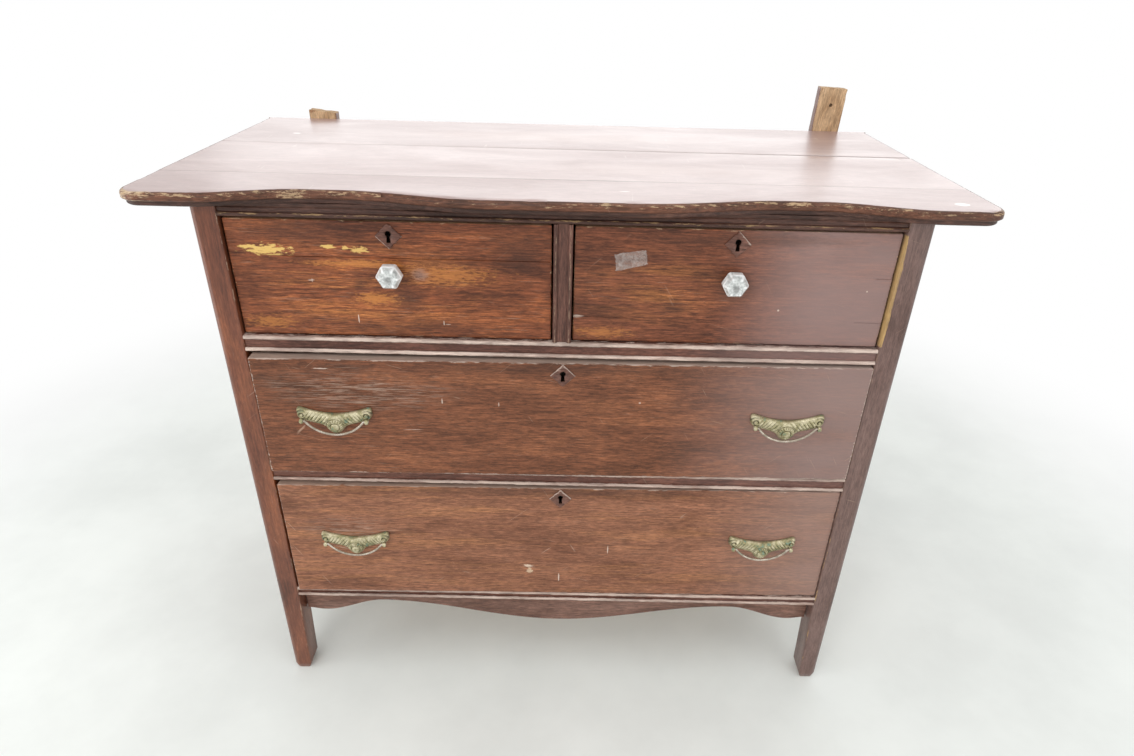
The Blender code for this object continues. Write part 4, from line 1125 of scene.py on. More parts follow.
frontLooks = {
    "top_left_drawer": {
        "wood": dict(dark=(0.080, 0.025, 0.012), middle=(0.165, 0.049, 0.020), light=(0.300, 0.092, 0.030),
                     golden=0.60, goldenSpot=(-0.25, 0.735, 0.22, 0.085), streaks=0.72, pores=0.5,
                     scratches=0.25, paleGrain=0.45, shift=67.0,
                     # painted shadow beside and below the knob at -0.207 and -0.268; the other dark marks
                     # are darker patches at the upper left, upper right and along the bottom
                     marks=((-0.350, 0.8130, 0.110, 0.026, 0.8, 0.9, darkPatchAndPaintedShade, 0.50),
                            (-0.215, 0.6830, 0.220, 0.018, 0.8, 0.9, darkPatchAndPaintedShade, 0.30),
                            (-0.055, 0.7950, 0.055, 0.050, 0.8, 0.9, darkPatchAndPaintedShade, 0.45),
                            (-0.207, 0.7200, 0.034, 0.026, 0.9, 0.9, darkPatchAndPaintedShade, 0.55),
                            (-0.268, 0.7420, 0.013, 0.016, 1.0, 0.9, darkPatchAndPaintedShade, 0.50),
                            (-0.264, 0.7700, 0.090, 0.0065, 3.6, 0.9, amber, 0.75),
                            (-0.247, 0.7210, 0.036, 0.0120, 4.0, 0.9, amber, 0.75),
                            (-0.150, 0.7560, 0.070, 0.0170, 4.0, 0.9, amber, 0.55),
                            (-0.395, 0.6850, 0.040, 0.0120, 4.0, 0.9, amber, 0.55),
                            (-0.186, 0.7570, 0.015, 0.0120, 2.4, 0.9, greyBloom, 0.45),
                            (-0.383, 0.7865, 0.026, 0.0060, 5.6, 0.2, yellowPaint, 0.95),
                            (-0.405, 0.7900, 0.018, 0.0022, 3.0, 0.3, yellowPaint, 0.90),
                            (-0.376, 0.7800, 0.016, 0.0010, 2.0, 0.4, yellowPaint, 0.70),
                            (-0.303, 0.7925, 0.009, 0.0028, 3.4, 0.2, yellowPaint, 0.90),
                            (-0.281, 0.7915, 0.004, 0.0026, 3.0, 0.2, yellowPaint, 0.85),
                            (-0.263, 0.7890, 0.010, 0.0034, 5.0, 0.2, yellowPaint, 0.85),
                            (-0.3315, 0.7460, 0.0060, 0.0012, 2.6, 0.5, paleNick, 0.45),
                            (-0.3300, 0.7462, 0.0012, 0.0040, 2.6, 0.5, paleNick, 0.40),
                            (-0.275, 0.6915, 0.0008, 0.0070, 0.9, 0.3, paleNick, 0.85),
                            (-0.160, 0.6880, 0.0008, 0.0040, 1.5, 0.3, paleNick, 0.60),
                            (-0.154, 0.6860, 0.0040, 0.0006, 1.5, 0.3, paleNick, 0.45))),
        "plateEdges": ((False, False),),                # pale edges: (right half, upper half)
        "splits": ((-0.363, -0.012, 0.7785, 0.0011),)},   # (from x, to x, z, depth)
    "top_right_drawer": {
        "wood": dict(dark=(0.080, 0.027, 0.014), middle=(0.165, 0.052, 0.024), light=(0.275, 0.088, 0.036),
                     golden=0.40, goldenSpot=(0.12, 0.745, 0.13, 0.07), haze=0.85, hazeSpan=(0.19, 0.35),
                     hazeColour=(0.275, 0.186, 0.172), streaks=0.62, pores=0.5, scratches=0.25,
                     paleGrain=0.35, shift=71.0,
                     # painted shadow around the knob at 0.227 and painted shade along the top edge under
                     # the top at 0.815; the other dark marks are darker patches
                     marks=((0.227, 0.7480, 0.036, 0.036, 0.8, 0.9, darkPatchAndPaintedShade, 0.50),
                            (0.075, 0.7400, 0.090, 0.070, 0.8, 0.9, darkPatchAndPaintedShade, 0.22),
                            (0.240, 0.8150, 0.200, 0.014, 0.8, 0.9, darkPatchAndPaintedShade, 0.40),
                            (0.150, 0.7180, 0.030, 0.016, 1.0, 0.9, darkPatchAndPaintedShade, 0.40),
                            (0.055, 0.6800, 0.050, 0.0100, 4.0, 0.9, amber, 0.50),
                            (0.018, 0.7030, 0.012, 0.0024, 2.0, 0.5, paleNick, 0.55),
                            (0.290, 0.7180, 0.0016, 0.0016, 0.6, 0.4, paleNick, 0.80),
                            (0.403, 0.7480, 0.0014, 0.0014, 0.6, 0.4, paleNick, 0.70))),
        "plateEdges": ((True, True),),
        "splits": ((0.010, 0.084, 0.7022, 0.0008), (0.412, 0.436, 0.7655, 0.0009),
                   (0.400, 0.436, 0.7027, 0.0010))},
    "middle_drawer": {
        "wood": dict(dark=(0.098, 0.035, 0.016), middle=(0.158, 0.056, 0.026), light=(0.225, 0.082, 0.036),
                     streaks=0.48, flecks=0.50, pores=0.50, wear=0.0015, wearEven=0.7,
                     wearColour=(0.58, 0.47, 0.40), haze=0.85, hazeSpan=(0.12, 0.40), scratches=0.5,
                     paleGrain=0.3, hazeColour=(0.270, 0.188, 0.172), paleSpot=(-0.28, 0.590, 0.17, 0.045),
                     shift=73.0,
                     # the first mark is painted shade along the top edge, under the rail above
                     marks=((-0.020, 0.6280, 0.400, 0.012, 0.8, 0.9, darkPatchAndPaintedShade, 0.45),
                            (-0.335, 0.6230, 0.0140, 0.0012, 2.0, 0.5, paleNick, 0.75),
                            (-0.170, 0.5740, 0.0012, 0.0050, 1.5, 0.4, paleNick, 0.60),
                            (-0.215, 0.5250, 0.0180, 0.0008, 2.5, 0.5, paleNick, 0.40),
                            (-0.090, 0.5700, 0.0010, 0.0045, 1.5, 0.4, paleNick, 0.55),
                            (0.110, 0.5760, 0.0020, 0.0016, 0.8, 0.4, paleNick, 0.60))),
        "plateEdges": ((False, True), (True, True)),
        "splits": ()},
    "bottom_drawer": {
        "wood": dict(dark=(0.145, 0.056, 0.030), middle=(0.230, 0.095, 0.052), light=(0.295, 0.125, 0.068),
                     streaks=0.44, pores=0.45, wearEven=0.6, wear=0.0012, wearColour=(0.54, 0.43, 0.36),
                     haze=0.68, hazeSpan=(0.20, 0.43), scratches=0.6, paleGrain=0.3,
                     golden=0.30, goldenColour=(0.430, 0.190, 0.070), hazeColour=(0.300, 0.205, 0.178),
                     paleSpot=(-0.33, 0.330, 0.10, 0.040), scratchColour=(0.62, 0.48, 0.38), shift=79.0,
                     # the first mark is painted shade along the top edge, under the rail above
                     marks=((-0.020, 0.4100, 0.400, 0.012, 0.8, 0.9, darkPatchAndPaintedShade, 0.45),
                            (-0.0498, 0.2590, 0.0085, 0.0032, 3.4, 0.3, (0.66, 0.52, 0.40), 0.9),
                            (-0.0480, 0.2490, 0.0050, 0.0062, 4.2, 0.3, (0.60, 0.44, 0.30), 0.8),
                            (0.0778, 0.2959, 0.0010, 0.0090, 0.8, 0.3, paleNick, 0.85),
                            (-0.0004, 0.2351, 0.0012, 0.0100, 0.8, 0.3, paleNick, 0.85))),
        "plateEdges": ((False, True), (True, True)),
        "splits": ()},
}
holeShade = woodFinish("keyhole shade", dark=(0.010, 0.006, 0.004), middle=(0.018, 0.010, 0.007),
                       light=(0.030, 0.016, 0.010), wear=0.0, wearEven=0.0, scratches=0.0, paleGrain=0.0,
                       gloss=0.1, coat=0.0, shift=81.0)


def keyOutline(centre, level):
    f = frontShape
    slot = f["slotWidth"] / 2
    turn = math.degrees(math.acos(slot / f["keyRadius"]))
    level += f["keyLift"]
    outline = arcPoints((centre, level), f["keyRadius"], -turn, 180 + turn, 20)
    foot = slot + f["slotFlare"]
    return outline + [(centre - foot, level - f["slotLength"]), (centre + foot, level - f["slotLength"])]


def keyCutter(centre, level, near, far, matrix, finish):
    over = frontShape["keyOver"]
    return makeCutter("key_cutter", keyOutline(centre, level), near - over, far + over, finish, matrix)


def buildFront(drawer):
    f, look = frontShape, frontLooks[drawer]
    matrix = drawerTurn(drawer)
    node = drawer + "_front"
    low, high = squareBox(node, matrix)
    low.x += f["endTrim"]
    high.x -= f["endTrim"]
    finish = woodFinish(drawer.replace("_", " ") + " stain", **look["wood"])
    extra = ([], [], [])
    for x0, x1, z, _ in look["splits"]:
        extra[0].extend((x0, x1))
        extra[2].extend((z - f["splitWide"], z, z + f["splitWide"]))
    points, faces = roundedBoard(low, high, f["arris"], f["steps"], extra)
    chipBoard(points, low, high, {**f["chips"], "seed": low.z * 9})
    for p in points:
        if p.y < low.y + f["near"]:
            p.y += f["warp"] * (0.5 + 0.5 * clampTo(-1, 1, roughNoise(p, f["warpScale"], 8.0)))
            for x0, x1, z, deep in look["splits"]:
                if x0 - f["touch"] <= p.x <= x1 + f["touch"] and abs(p.z - z) < f["touch"]:
                    p.y += deep
    piece = makePiece(node + "_worn", points, faces, finish, 35, matrix)
    centre = (low.x + high.x) / 2
    level = high.z - f["keyDrop"]
    cutOut(piece, keyCutter(centre, level, low.y, high.y, matrix, holeShade))
    smoothMesh(piece.data, 35)

    def upperEdge(p):
        # its top face has lost its stain to the rail above, and is also lightened with a painted highlight
        onEdge = p.z > high.z - f["topSkin"] and p.y > low.y + f["topBehind"]
        return f["topBareAndLit"] if onEdge else 0.0

    markPoints(piece, "arris", lambda p: edgeGap(p, low, high))
    markPoints(piece, "bare", upperEdge)
    settle(piece, drawer, "stained_wood", node)
    buildKeyPlate(drawer, matrix, low.y, centre, level)
    buildTails(drawer, matrix, low, high)
    return matrix, low.y


def buildTails(drawer, matrix, low, high):
    # the sides' dovetails, let into the ends of the front
    f = frontShape
    sideLow, sideHigh = squareBox(drawer + "_left_side", matrix)
    bottom, top = max(low.z, sideLow.z), sideHigh.z
    count = round((top - bottom) / f["tailPitch"])
    tailSteps = ((-f["tailSunk"], 0.0), (f["tailSquare"] * f["tailProud"], 0.0),
                 (f["tailProud"], f["tailEase"]))
    points, faces = [], []
    for end, facing in ((low.x, -1), (high.x, 1)):
        for k in range(count):
            middle = bottom + (top - bottom) * (k + 0.5) / count
            root, tip = high.y + f["gap"], high.y - f["tailRun"]
            outline = [(root, middle - f["tailNeck"]), (root, middle + f["tailNeck"]),
                       (tip, middle + f["tailEnd"]), (tip, middle - f["tailEnd"])]
            faces += shiftFaces(loftFaces(len(tailSteps), len(outline)), len(points))
            for out, inset in tailSteps:
                for y, z in outline:
                    toward = Vector((0.0, (root + tip) / 2 - y, middle - z)).normalized()
                    points.append(Vector((end + facing * out, y, z)) + toward * inset)
    piece = makePiece(drawer + "_dovetails", points, faces, liningWoodDeep, 35, matrix)
    settle(piece, drawer, "lining_wood")


plateWood = woodFinish("diamond plate wood", dark=(0.070, 0.030, 0.021), middle=(0.112, 0.050, 0.036),
                       light=(0.165, 0.078, 0.056), streaks=0.4, wear=0.0013, wearEven=0.9, scratches=0.2,
                       wearColour=(0.58, 0.45, 0.38), shift=83.0)


def buildKeyPlate(drawer, matrix, face, centre, level):
    f = frontShape
    half, thick = f["plateHalf"], f["plateThick"]
    corners, steps = [(0, -half), (half, 0), (0, half), (-half, 0)], f["plateSteps"]
    outline = []
    for (u0, v0), (u1, v1) in zip(corners, corners[1:] + corners[:1]):
        outline += [(centre + u0 + (u1 - u0) * i / steps, level + v0 + (v1 - v0) * i / steps)
                    for i in range(steps)]
    front, back = face - f["gap"] - thick, face - f["gap"]
    profile = [(back, 0.0)] + [(front + share * thick, inset) for share, inset in f["plateProfile"]]
    points, faces = slabRings(outline, profile)
    for p in points:
        bite = max(0.0, roughNoise(p, f["plateChipScale"], 4.0) - f["plateChipAbove"]) * f["plateChip"]
        if abs(p.x - centre) + abs(p.z - level) > half - f["plateChipReach"]:
            p.x -= (p.x - centre) * bite
            p.z -= (p.z - level) * bite
    piece = makePiece(drawer + "_escutcheon_worn", points, faces, plateWood, 35, matrix)
    cutOut(piece, keyCutter(centre, level, front, back, matrix, plateWood))

    def gap(p):
        # some of the four edges are paler
        rubbed = (p.x > centre, p.z > level) in frontLooks[drawer]["plateEdges"]
        inside = max(0.0, half - abs(p.x - centre) - abs(p.z - level))
        return inside * f["plateSlope"] + (0.0 if rubbed else f["plateSpare"])

    markPoints(piece, "arris", gap)
    settle(piece, drawer, "stained_wood", drawer + "_escutcheon")


fronts = {drawer: buildFront(drawer) for drawer in drawers}
print("drawer fronts made")


# Metal finishes

def brassFinish(name, bright, tarnish, dirtAndDarkening, verdigris, roughness):
    finish, tree, shader = newFinish(name)
    coords = objectPlace(tree)
    cloud = noiseOver(tree, coords, 90.0, 5.0, 0.65)
    speck = noiseOver(tree, coords, 700.0, 4.0, 0.7, shift=4.0)
    hollow = pieceNumber(tree, "hollow")
    colour = blendColour(tree, spread(tree, cloud, 0.36, 0.62), bright, tarnish)
    colour = blendColour(tree, spread(tree, speck, 0.56, 0.68, 0.0, 0.55), colour, dirtAndDarkening)
    patch = times(tree, spread(tree, cloud, 0.56, 0.67, 0.0, 0.78), spread(tree, speck, 0.4, 0.6, 0.5, 1.0))
    colour = blendColour(tree, patch, colour, verdigris)
    # patina in the casting's hollows, and darker towards the rims
    colour = blendColour(tree, spread(tree, hollow, 0.15, 0.80, 0.0, 0.74), colour, dirtAndDarkening)
    rough = spread(tree, cloud, 0.3, 0.7, roughness, roughness + 0.2)
    setValues(tree, shader, {"Base Color": colour, "Metallic": 0.72,
                             "Roughness": calc(tree, "MULTIPLY_ADD", hollow, 0.25, rough)})
    bumpFrom(tree, shader, calc(tree, "MULTIPLY_ADD", speck, 0.5, cloud), 0.4, 0.0006)
    return finish


plateBrass = brassFinish("aged cast brass", bright=(0.600, 0.545, 0.370), tarnish=(0.300, 0.270, 0.135),
                         dirtAndDarkening=(0.040, 0.033, 0.019), verdigris=(0.170, 0.330, 0.290), roughness=0.34)
bailBrass = brassFinish("hand rubbed brass", bright=(0.580, 0.505, 0.430), tarnish=(0.330, 0.275, 0.215),
                        dirtAndDarkening=(0.085, 0.065, 0.045), verdigris=(0.330, 0.360, 0.280), roughness=0.22)
lockIron = brassFinish("lock iron", bright=(0.060, 0.054, 0.048), tarnish=(0.040, 0.034, 0.030),
                       dirtAndDarkening=(0.016, 0.013, 0.010), verdigris=(0.090, 0.048, 0.027), roughness=0.50)
for drawer in drawers:
    dressNode(drawer + "_lock", lockIron, easedArris["lock"])
settle(makePiece("back_nails", *backNails, lockIron, 40), "case", "lock_iron")
for name, points, faces, matrix in mirrorScrews:
    settle(makePiece(name, points, faces, lockIron, 40, matrix), "case", "lock_iron")


# Cast pulls: a crescent plate with ribs, a shell and volutes, and the bail that hangs from its ears

pullShape = {
    "halfLength": 0.053, "halfHeight": 0.010, "relief": 0.008, "sag": 0.0125, "tipLength": 0.0075,
    "tipShare": 0.35, "shellHalf": 0.0117, "shellHeight": 0.006, "shellRelief": 0.005, "shellBase": 0.022,
    "shellRadius": 0.0130, "shellLevel": -0.0090, "shellFlat": 0.25,
    "voluteHalf": 0.0085, "voluteRelief": 0.002, "voluteIn": 0.0005, "voluteLevel": 0.74,
    "gap": 0.0003, "slices": 180, "facets": 44,
    "ribPitch": 0.0058, "ribLean": 0.85, "ribDepth": 0.30, "ribFrom": 0.0030, "ribTo": 0.0400,
    "beads": 9, "beadDepth": 0.20, "scrollPitch": 0.0042, "scrollDepth": 0.26, "grooveDepth": 0.22,
    "earInset": 0.007, "earThick": 0.005, "earRadius": 0.0040, "boreRadius": 0.0021, "earFacets": 24,
    "wire": 0.0017, "wireFacets": 14, "bailSteps": 60, "axisOut": 0.010, "axisUp": 0.001,
    "belowShell": 0.0007, "shoulder": 0.002, "pinRun": 0.0035, "pinEase": 0.0006, "pinBends": (0.5, 0.2),
    "pinTip": 0.8, "ribFade": 0.002, "ribTail": 0.003, "ribClear": 1.08, "ringInner": 0.52,
    "ringOuter": 0.98, "ringWidth": 0.06, "ringFade": (-0.012, -0.006), "beadFrom": (0.58, 0.66),
    "beadTo": (0.98, 0.90), "scrollFrom": (0.0385, 0.0425), "scrollEye": (0.0012, 0.0022),
    "dirtGain": 2.9, "rimDarkening": 0.5, "rimReach": 0.30,
}


def swell(place, middle, width):
    return math.exp(-((place - middle) / width) ** 2)


def plateSection(x):
    # half height, relief, level and fullness of the crescent at one place along it
    s = pullShape
    place = abs(x)
    voluteAt = s["halfLength"] - s["tipLength"]
    shell, volute = swell(place, 0.0, s["shellHalf"]), swell(place, voluteAt, s["voluteHalf"])
    tip = max(place - voluteAt, 0.0) / s["tipLength"]
    pinch = s["tipShare"] + (1 - s["tipShare"]) * math.sqrt(max(1 - tip ** 2, 0.0))
    halfHeight = (s["halfHeight"] + s["shellHeight"] * shell) * pinch
    relief = (s["relief"] + s["shellRelief"] * shell + s["voluteRelief"] * volute) * pinch
    level = s["sag"] * (place / s["halfLength"]) ** 2 - s["shellHeight"] * shell
    top, bottom = level + halfHeight, level - halfHeight
    if place < s["shellRadius"]:
        bottom = min(bottom, s["shellLevel"] - math.sqrt(s["shellRadius"] ** 2 - place ** 2))
    return (top - bottom) / 2, relief, (top + bottom) / 2, 1 - s["shellFlat"] * shell


def plateHollow(x, z):
    # how deep the casting's pattern sinks below the crescent, from 0 on a crest to 1 in a groove
    s = pullShape
    place = abs(x)
    ribs = 1 - math.sqrt(abs(math.sin(math.pi * (place + s["ribLean"] * z) / s["ribPitch"])))
    fade = s["ribFade"]
    ribs *= min(easeStep(s["ribFrom"] - fade, s["ribFrom"] + fade, place),
                easeStep(s["ribTo"] + s["ribTail"], s["ribTo"] - fade, place))
    fromShell = z - s["shellLevel"]
    ringPlace = math.hypot(x, fromShell) / s["shellRadius"]
    turn = math.atan2(fromShell, x)
    ribs *= easeStep(s["ringOuter"], s["ribClear"], ringPlace)
    groove = swell(ringPlace, s["ringInner"], s["ringWidth"])
    groove += swell(ringPlace, s["ringOuter"], s["ringWidth"]) * easeStep(*s["ringFade"], z)
    beads = 1 - abs(math.sin(s["beads"] * turn))
    beads *= min(easeStep(*s["beadFrom"], ringPlace), easeStep(*s["beadTo"], ringPlace))
    voluteAt = s["halfLength"] - s["tipLength"] - s["voluteIn"]
    voluteUp = z - s["sag"] * s["voluteLevel"]
    fromVolute = math.hypot(place - voluteAt, voluteUp)
    around = math.atan2(voluteUp, place - voluteAt)
    scroll = 0.5 + 0.5 * math.cos(math.tau * fromVolute / s["scrollPitch"] + around)
    scroll *= easeStep(*s["scrollFrom"], place) * easeStep(*s["scrollEye"], fromVolute)
    groove = clampTo(0, 1, groove) * s["grooveDepth"]
    return max(ribs * s["ribDepth"], groove, beads * s["beadDepth"], scroll * s["scrollDepth"])


def buildPull(drawer, side):
    s = pullShape
    matrix, face = fronts[drawer]
    name = drawer + "_" + side
    low, high = squareBox(name + "_pull_plate", matrix)
    seat = Vector(((low.x + high.x) / 2, face, low.z + s["shellBase"]))
    points, hollows = [], []
    for i in range(s["slices"] + 1):
        x = s["halfLength"] * math.sin(math.pi * (i / s["slices"] - 0.5))
        halfHeight, relief, level, fullness = plateSection(x)
        for j in range(s["facets"] + 1):
            turn = math.pi * j / s["facets"]
            z = level - halfHeight * math.cos(turn)
            sunk = plateHollow(x, z) * math.sin(turn)
            bulge = max(math.sin(turn), 0.0) ** fullness
            points.append(seat + Vector((x, -s["gap"] - relief * bulge * (1 - sunk), z)))
            # darker towards the crescent's top and bottom rims, where it meets the wood
            dirtAndDarkening = easeStep(s["rimReach"], 0.0, math.sin(turn)) * s["rimDarkening"]
            hollows.append(clampTo(0, 1, sunk * s["dirtGain"] + dirtAndDarkening))
    faces = loftFaces(s["slices"] + 1, s["facets"] + 1)
    earAt = s["halfLength"] - s["earInset"]
    axis = seat + Vector((0, -s["axisOut"], s["axisUp"]))
    section = arcPoints((0.0, 0.0), 1.0, 0, 330, 11)
    thick, ringMid = s["earThick"] / 2, (s["earRadius"] + s["boreRadius"]) / 2
    ringHalf = (s["earRadius"] - s["boreRadius"]) / 2
    rim, size = s["earFacets"], len(section)
    for ear in (-earAt, earAt):
        # rounded lugs with a bore for the bail's pin
        start = len(points)
        for back, up in unitCircle(rim):
            for across, out in section:
                radius = ringMid + ringHalf * out
                points.append(axis + Vector((ear + thick * across, radius * back, radius * up)))
                hollows.append(0.0)
        for a in range(rim):
            here, there = start + a * size, start + (a + 1) % rim * size
            for b in range(size):
                nextB = (b + 1) % size
                faces.append([here + b, there + b, there + nextB, here + nextB])
    plate = makePiece(name + "_pull_casting", points, faces, plateBrass, 55, matrix)
    storePoints(plate, "hollow", hollows)
    settle(plate, drawer, "aged_brass", name + "_pull_plate")
    buildBail(drawer, side, matrix, axis, earAt)


def buildBail(drawer, side, matrix, axis, earAt):
    s = pullShape
    shoulder = earAt - s["earThick"] / 2 - s["pinRun"]
    drop = s["axisUp"] + s["shellBase"] + s["belowShell"] - s["wire"]
    sag = drop - s["shoulder"]
    bend = (shoulder ** 2 + sag ** 2) / (2 * sag)
    opening = math.asin(shoulder / bend)
    hang = []
    for i in range(s["bailSteps"] + 1):
        angle = opening * (2 * i / s["bailSteps"] - 1)
        hang.append((bend * math.sin(angle), bend - drop - bend * math.cos(angle)))
    pinEnd = earAt + s["earThick"] / 2 + s["gap"]
    outerBend, innerBend = (-shoulder - s["pinRun"] * share for share in s["pinBends"])
    pins = [(-pinEnd, 0.0), (-pinEnd + s["pinEase"], 0.0), (-earAt, 0.0), (outerBend, 0.0),
            (innerBend, -0.5 * s["shoulder"])]
    path = pins + hang + [(-x, z) for x, z in reversed(pins)]
    points, size = [], s["wireFacets"]
    for i, (x, z) in enumerate(path):
        before, after = path[max(i - 1, 0)], path[min(i + 1, len(path) - 1)]
        along = Vector((after[0] - before[0], 0.0, after[1] - before[1])).normalized()
        out = Vector((-along.z, 0.0, along.x))
        radius = s["wire"] * (s["pinTip"] if i in (0, len(path) - 1) else 1.0)
        middle = axis + Vector((x, 0, z))
        points += [middle + out * radius * across + Vector((0, radius * back, 0))
                   for across, back in unitCircle(size)]
    name = drawer + "_" + side + "_bail"
    bail = makePiece(name + "_wire", points, loftFaces(len(path), size), bailBrass, 60, matrix)
    settle(bail, drawer.replace("_drawer", "_") + side + "_bail", "rubbed_brass", name)


for drawer in ("middle_drawer", "bottom_drawer"):
    for side in ("left", "right"):
        buildPull(drawer, side)
print("pulls made")


# Hexagonal pressed-glass knobs on their bolts

knobShape = {"radius": 0.0175, "length": 0.026, "neck": 0.0085, "neckLength": 0.006, "face": 0.0128,
             "crown": 0.006, "band": 0.0105, "gap": 0.0003, "cornerFacets": 4, "cornerShare": 0.15,
             "ease": 0.0006, "boltRadius": 0.0022, "headRadius": 0.0042, "boltFacets": 20,
             "bite": (-0.0105, 0.0135), "biteReach": 0.008, "biteDepth": 0.0030,
             "spotDrop": 0.002, "spotInner": 0.0030, "spotOuter": 0.0062, "biteCore": 0.001, "biteAim": 0.6,
             "neckFlare": 1.06, "neckRise": 0.0008, "bandIn": 0.0004, "crownIn": 0.0005, "crownUp": 0.0003,
             "crownRings": (0.2, 0.4, 0.6, 0.8), "dishIn": 0.0004, "dishDown": 0.0003, "dishEye": 0.0012,
             "dish": ((0.55, 0.0009, 0.4), (0.38, 0.0011, 0.45), (0.25, 0.0012, 0.5)),
             "sideRings": (0.15, 0.5, 0.85),
             "edgeTurn": (10, 3), "edgeLight": 0.75, "edgeFrom": 0.6, "rimSpan": (0.90, 0.98),
             "rimDepth": 0.002, "bandLight": 0.35,
             "boltHead": ((1.0, 0.0084), (1.0, 0.0070), (0.7, 0.0062)), "boltTo": 0.0090}


def glassFinish(name):
    finish, tree, shader = newFinish(name)
    coords = objectPlace(tree)
    ripple = noiseOver(tree, coords, 260.0, 4.0, 0.6)
    seeds = noiseOver(tree, coords, 900.0, 2.0, 0.5, shift=6.0)
    # painted highlight along the ridges, grey depths between, and the bolt dark behind the middle
    ridgeHighlight = pieceNumber(tree, "ridgeHighlight")
    inner = blendColour(tree, spread(tree, ripple, 0.40, 0.60), (0.560, 0.590, 0.575),
                        (0.930, 0.950, 0.935))
    bolt = times(tree, pieceNumber(tree, "hollow"), 0.6)
    inner = blendColour(tree, bolt, inner, (0.160, 0.160, 0.150))
    setValues(tree, shader, {"Base Color": blendColour(tree, ridgeHighlight, inner, (0.98, 0.985, 0.98)),
                             "Roughness": spread(tree, seeds, 0.5, 0.7, 0.04, 0.20),
                             "Transmission Weight": spread(tree, ridgeHighlight, 0.0, 1.0, 0.35, 0.10),
                             "IOR": 1.5, "Coat Weight": 0.6})
    bumpFrom(tree, shader, ripple, 0.35, 0.0010)
    return finish


glass = glassFinish("pressed glass")


def between(start, end, share):
    return tuple(a + (b - a) * share for a, b in zip(start, end))


def hexRing(radius, share):
    # hexagon with its corners left and right, each corner rounded over a share of the side
    ring = []
    corners = [(radius * across, radius * up) for across, up in unitCircle(6)]
    for k in range(6):
        before, here, after = corners[k - 1], corners[k], corners[(k + 1) % 6]
        a, b = between(here, before, share), between(here, after, share)
        for i in range(knobShape["cornerFacets"] + 1):
            t = i / knobShape["cornerFacets"]
            ring.append(between(between(a, here, t), between(here, b, t), t))
        for t in knobShape["sideRings"]:
            ring.append(between(here, after, share + (1 - 2 * share) * t))
    return ring


def buildKnob(drawer):
    k = knobShape
    matrix, _ = fronts[drawer]
    low, high = squareBox(drawer + "_knob", matrix)
    seat = Vector(((low.x + high.x) / 2, high.y, (low.z + high.z) / 2))
    shoulder = k["length"] - k["crown"] - k["gap"]
    r, share, ease = k["radius"], k["cornerShare"], k["ease"]
    neck, rise, band = k["neck"], k["neckLength"], shoulder - k["band"]
    face, length = k["face"], k["length"]
    # radius, distance out and corner share of each ring: neck, band, crown, then the dished face
    steps = [(neck, 0.0, 0.5), (neck, rise, 0.5), (neck * k["neckFlare"], rise + k["neckRise"], 0.4)]
    steps += [(r - ease, band - k["bandIn"], share), (r, band + ease, share), (r, shoulder - ease, share)]
    crown, crownFoot = r - k["crownIn"], shoulder + k["crownUp"]
    steps.append((crown, crownFoot, share))
    steps += [(crown + (face + ease - crown) * t, crownFoot + (k["crown"] - ease) * t, share)
              for t in k["crownRings"]]
    steps += [(face + ease, length - ease, share), (face - k["dishIn"], length - k["dishDown"], share)]
    steps += [(face * part, length - down, corner) for part, down, corner in k["dish"]]
    steps.append((k["dishEye"], steps[-1][1], 0.5))
    points = []
    for radius, out, corner in steps:
        points += [seat + Vector((u, -out, v)) for u, v in hexRing(radius, corner)]
    size = len(hexRing(r, share))
    if drawer == "top_right_drawer":
        # a bite is missing from this knob's upper left edge
        across, up = k["bite"]
        inside = seat + Vector((0, -k["biteAim"] * shoulder, 0))
        for p in points:
            gap = (p - seat - Vector((across, -shoulder, up))).length
            p += (inside - p).normalized() * k["biteDepth"] * easeStep(k["biteReach"], k["biteCore"], gap)
    knob = makePiece(drawer + "_knob_glass", points, loftFaces(len(steps), size), glass, 20, matrix)
    crest = seat.y - shoulder
    flat = r * math.sqrt(0.75)

    def ridgeHighlight(p):
        # painted highlight along the band's rim and the six edges that run in from its corners
        reach = max(abs((p.x - seat.x) * math.sin(a) + (p.z - seat.z) * math.cos(a))
                    for a in (0.0, math.tau / 6, -math.tau / 6))
        turn = math.degrees(math.atan2(p.z - seat.z, p.x - seat.x)) % 60
        edge, rim = 0.0, k["bandLight"]
        if reach > k["edgeFrom"] * face:
            edge = easeStep(*k["edgeTurn"], min(turn, 60 - turn)) * k["edgeLight"]
        if p.y < crest + k["rimDepth"]:
            rim = easeStep(k["rimSpan"][0] * flat, k["rimSpan"][1] * flat, reach)
        return max(rim, edge)

    def boltSpot(p):
        fromBolt = math.hypot(p.x - seat.x, p.z - seat.z + k["spotDrop"])
        return easeStep(k["spotOuter"], k["spotInner"], fromBolt)

    markPoints(knob, "ridgeHighlight", ridgeHighlight)
    markPoints(knob, "hollow", boltSpot)
    settle(knob, drawer, "pressed_glass", drawer + "_knob")
    # bolt through the glass, with its head sunk behind the face
    bolt, head = k["boltRadius"], k["headRadius"]
    turned = [(bolt, -ease), (bolt, k["boltTo"] - length)]
    turned += [(head * part, sunk - length) for part, sunk in k["boltHead"]]
    points = turnedPoints(seat, turned, k["boltFacets"])
    faces = loftFaces(len(turned), k["boltFacets"])
    settle(makePiece(drawer + "_knob_bolt", points, faces, lockIron, 40, matrix), drawer, "lock_iron")


for drawer in ("top_left_drawer", "top_right_drawer"):
    buildKnob(drawer)
print("knobs made")


# Strip of old clear tape left on the right top drawer

tapeShape = {"corners": ((0.0669, 0.7916), (0.0694, 0.7685), (0.1104, 0.7791), (0.1065, 0.7980)),
             "thick": 0.00012, "off": 0.00008, "across": 40, "up": 24, "torn": 0.0012, "lift": 0.0005,
             "tornScale": 240.0, "tornUp": 0.6, "liftScale": 90.0, "liftReach": 0.05}


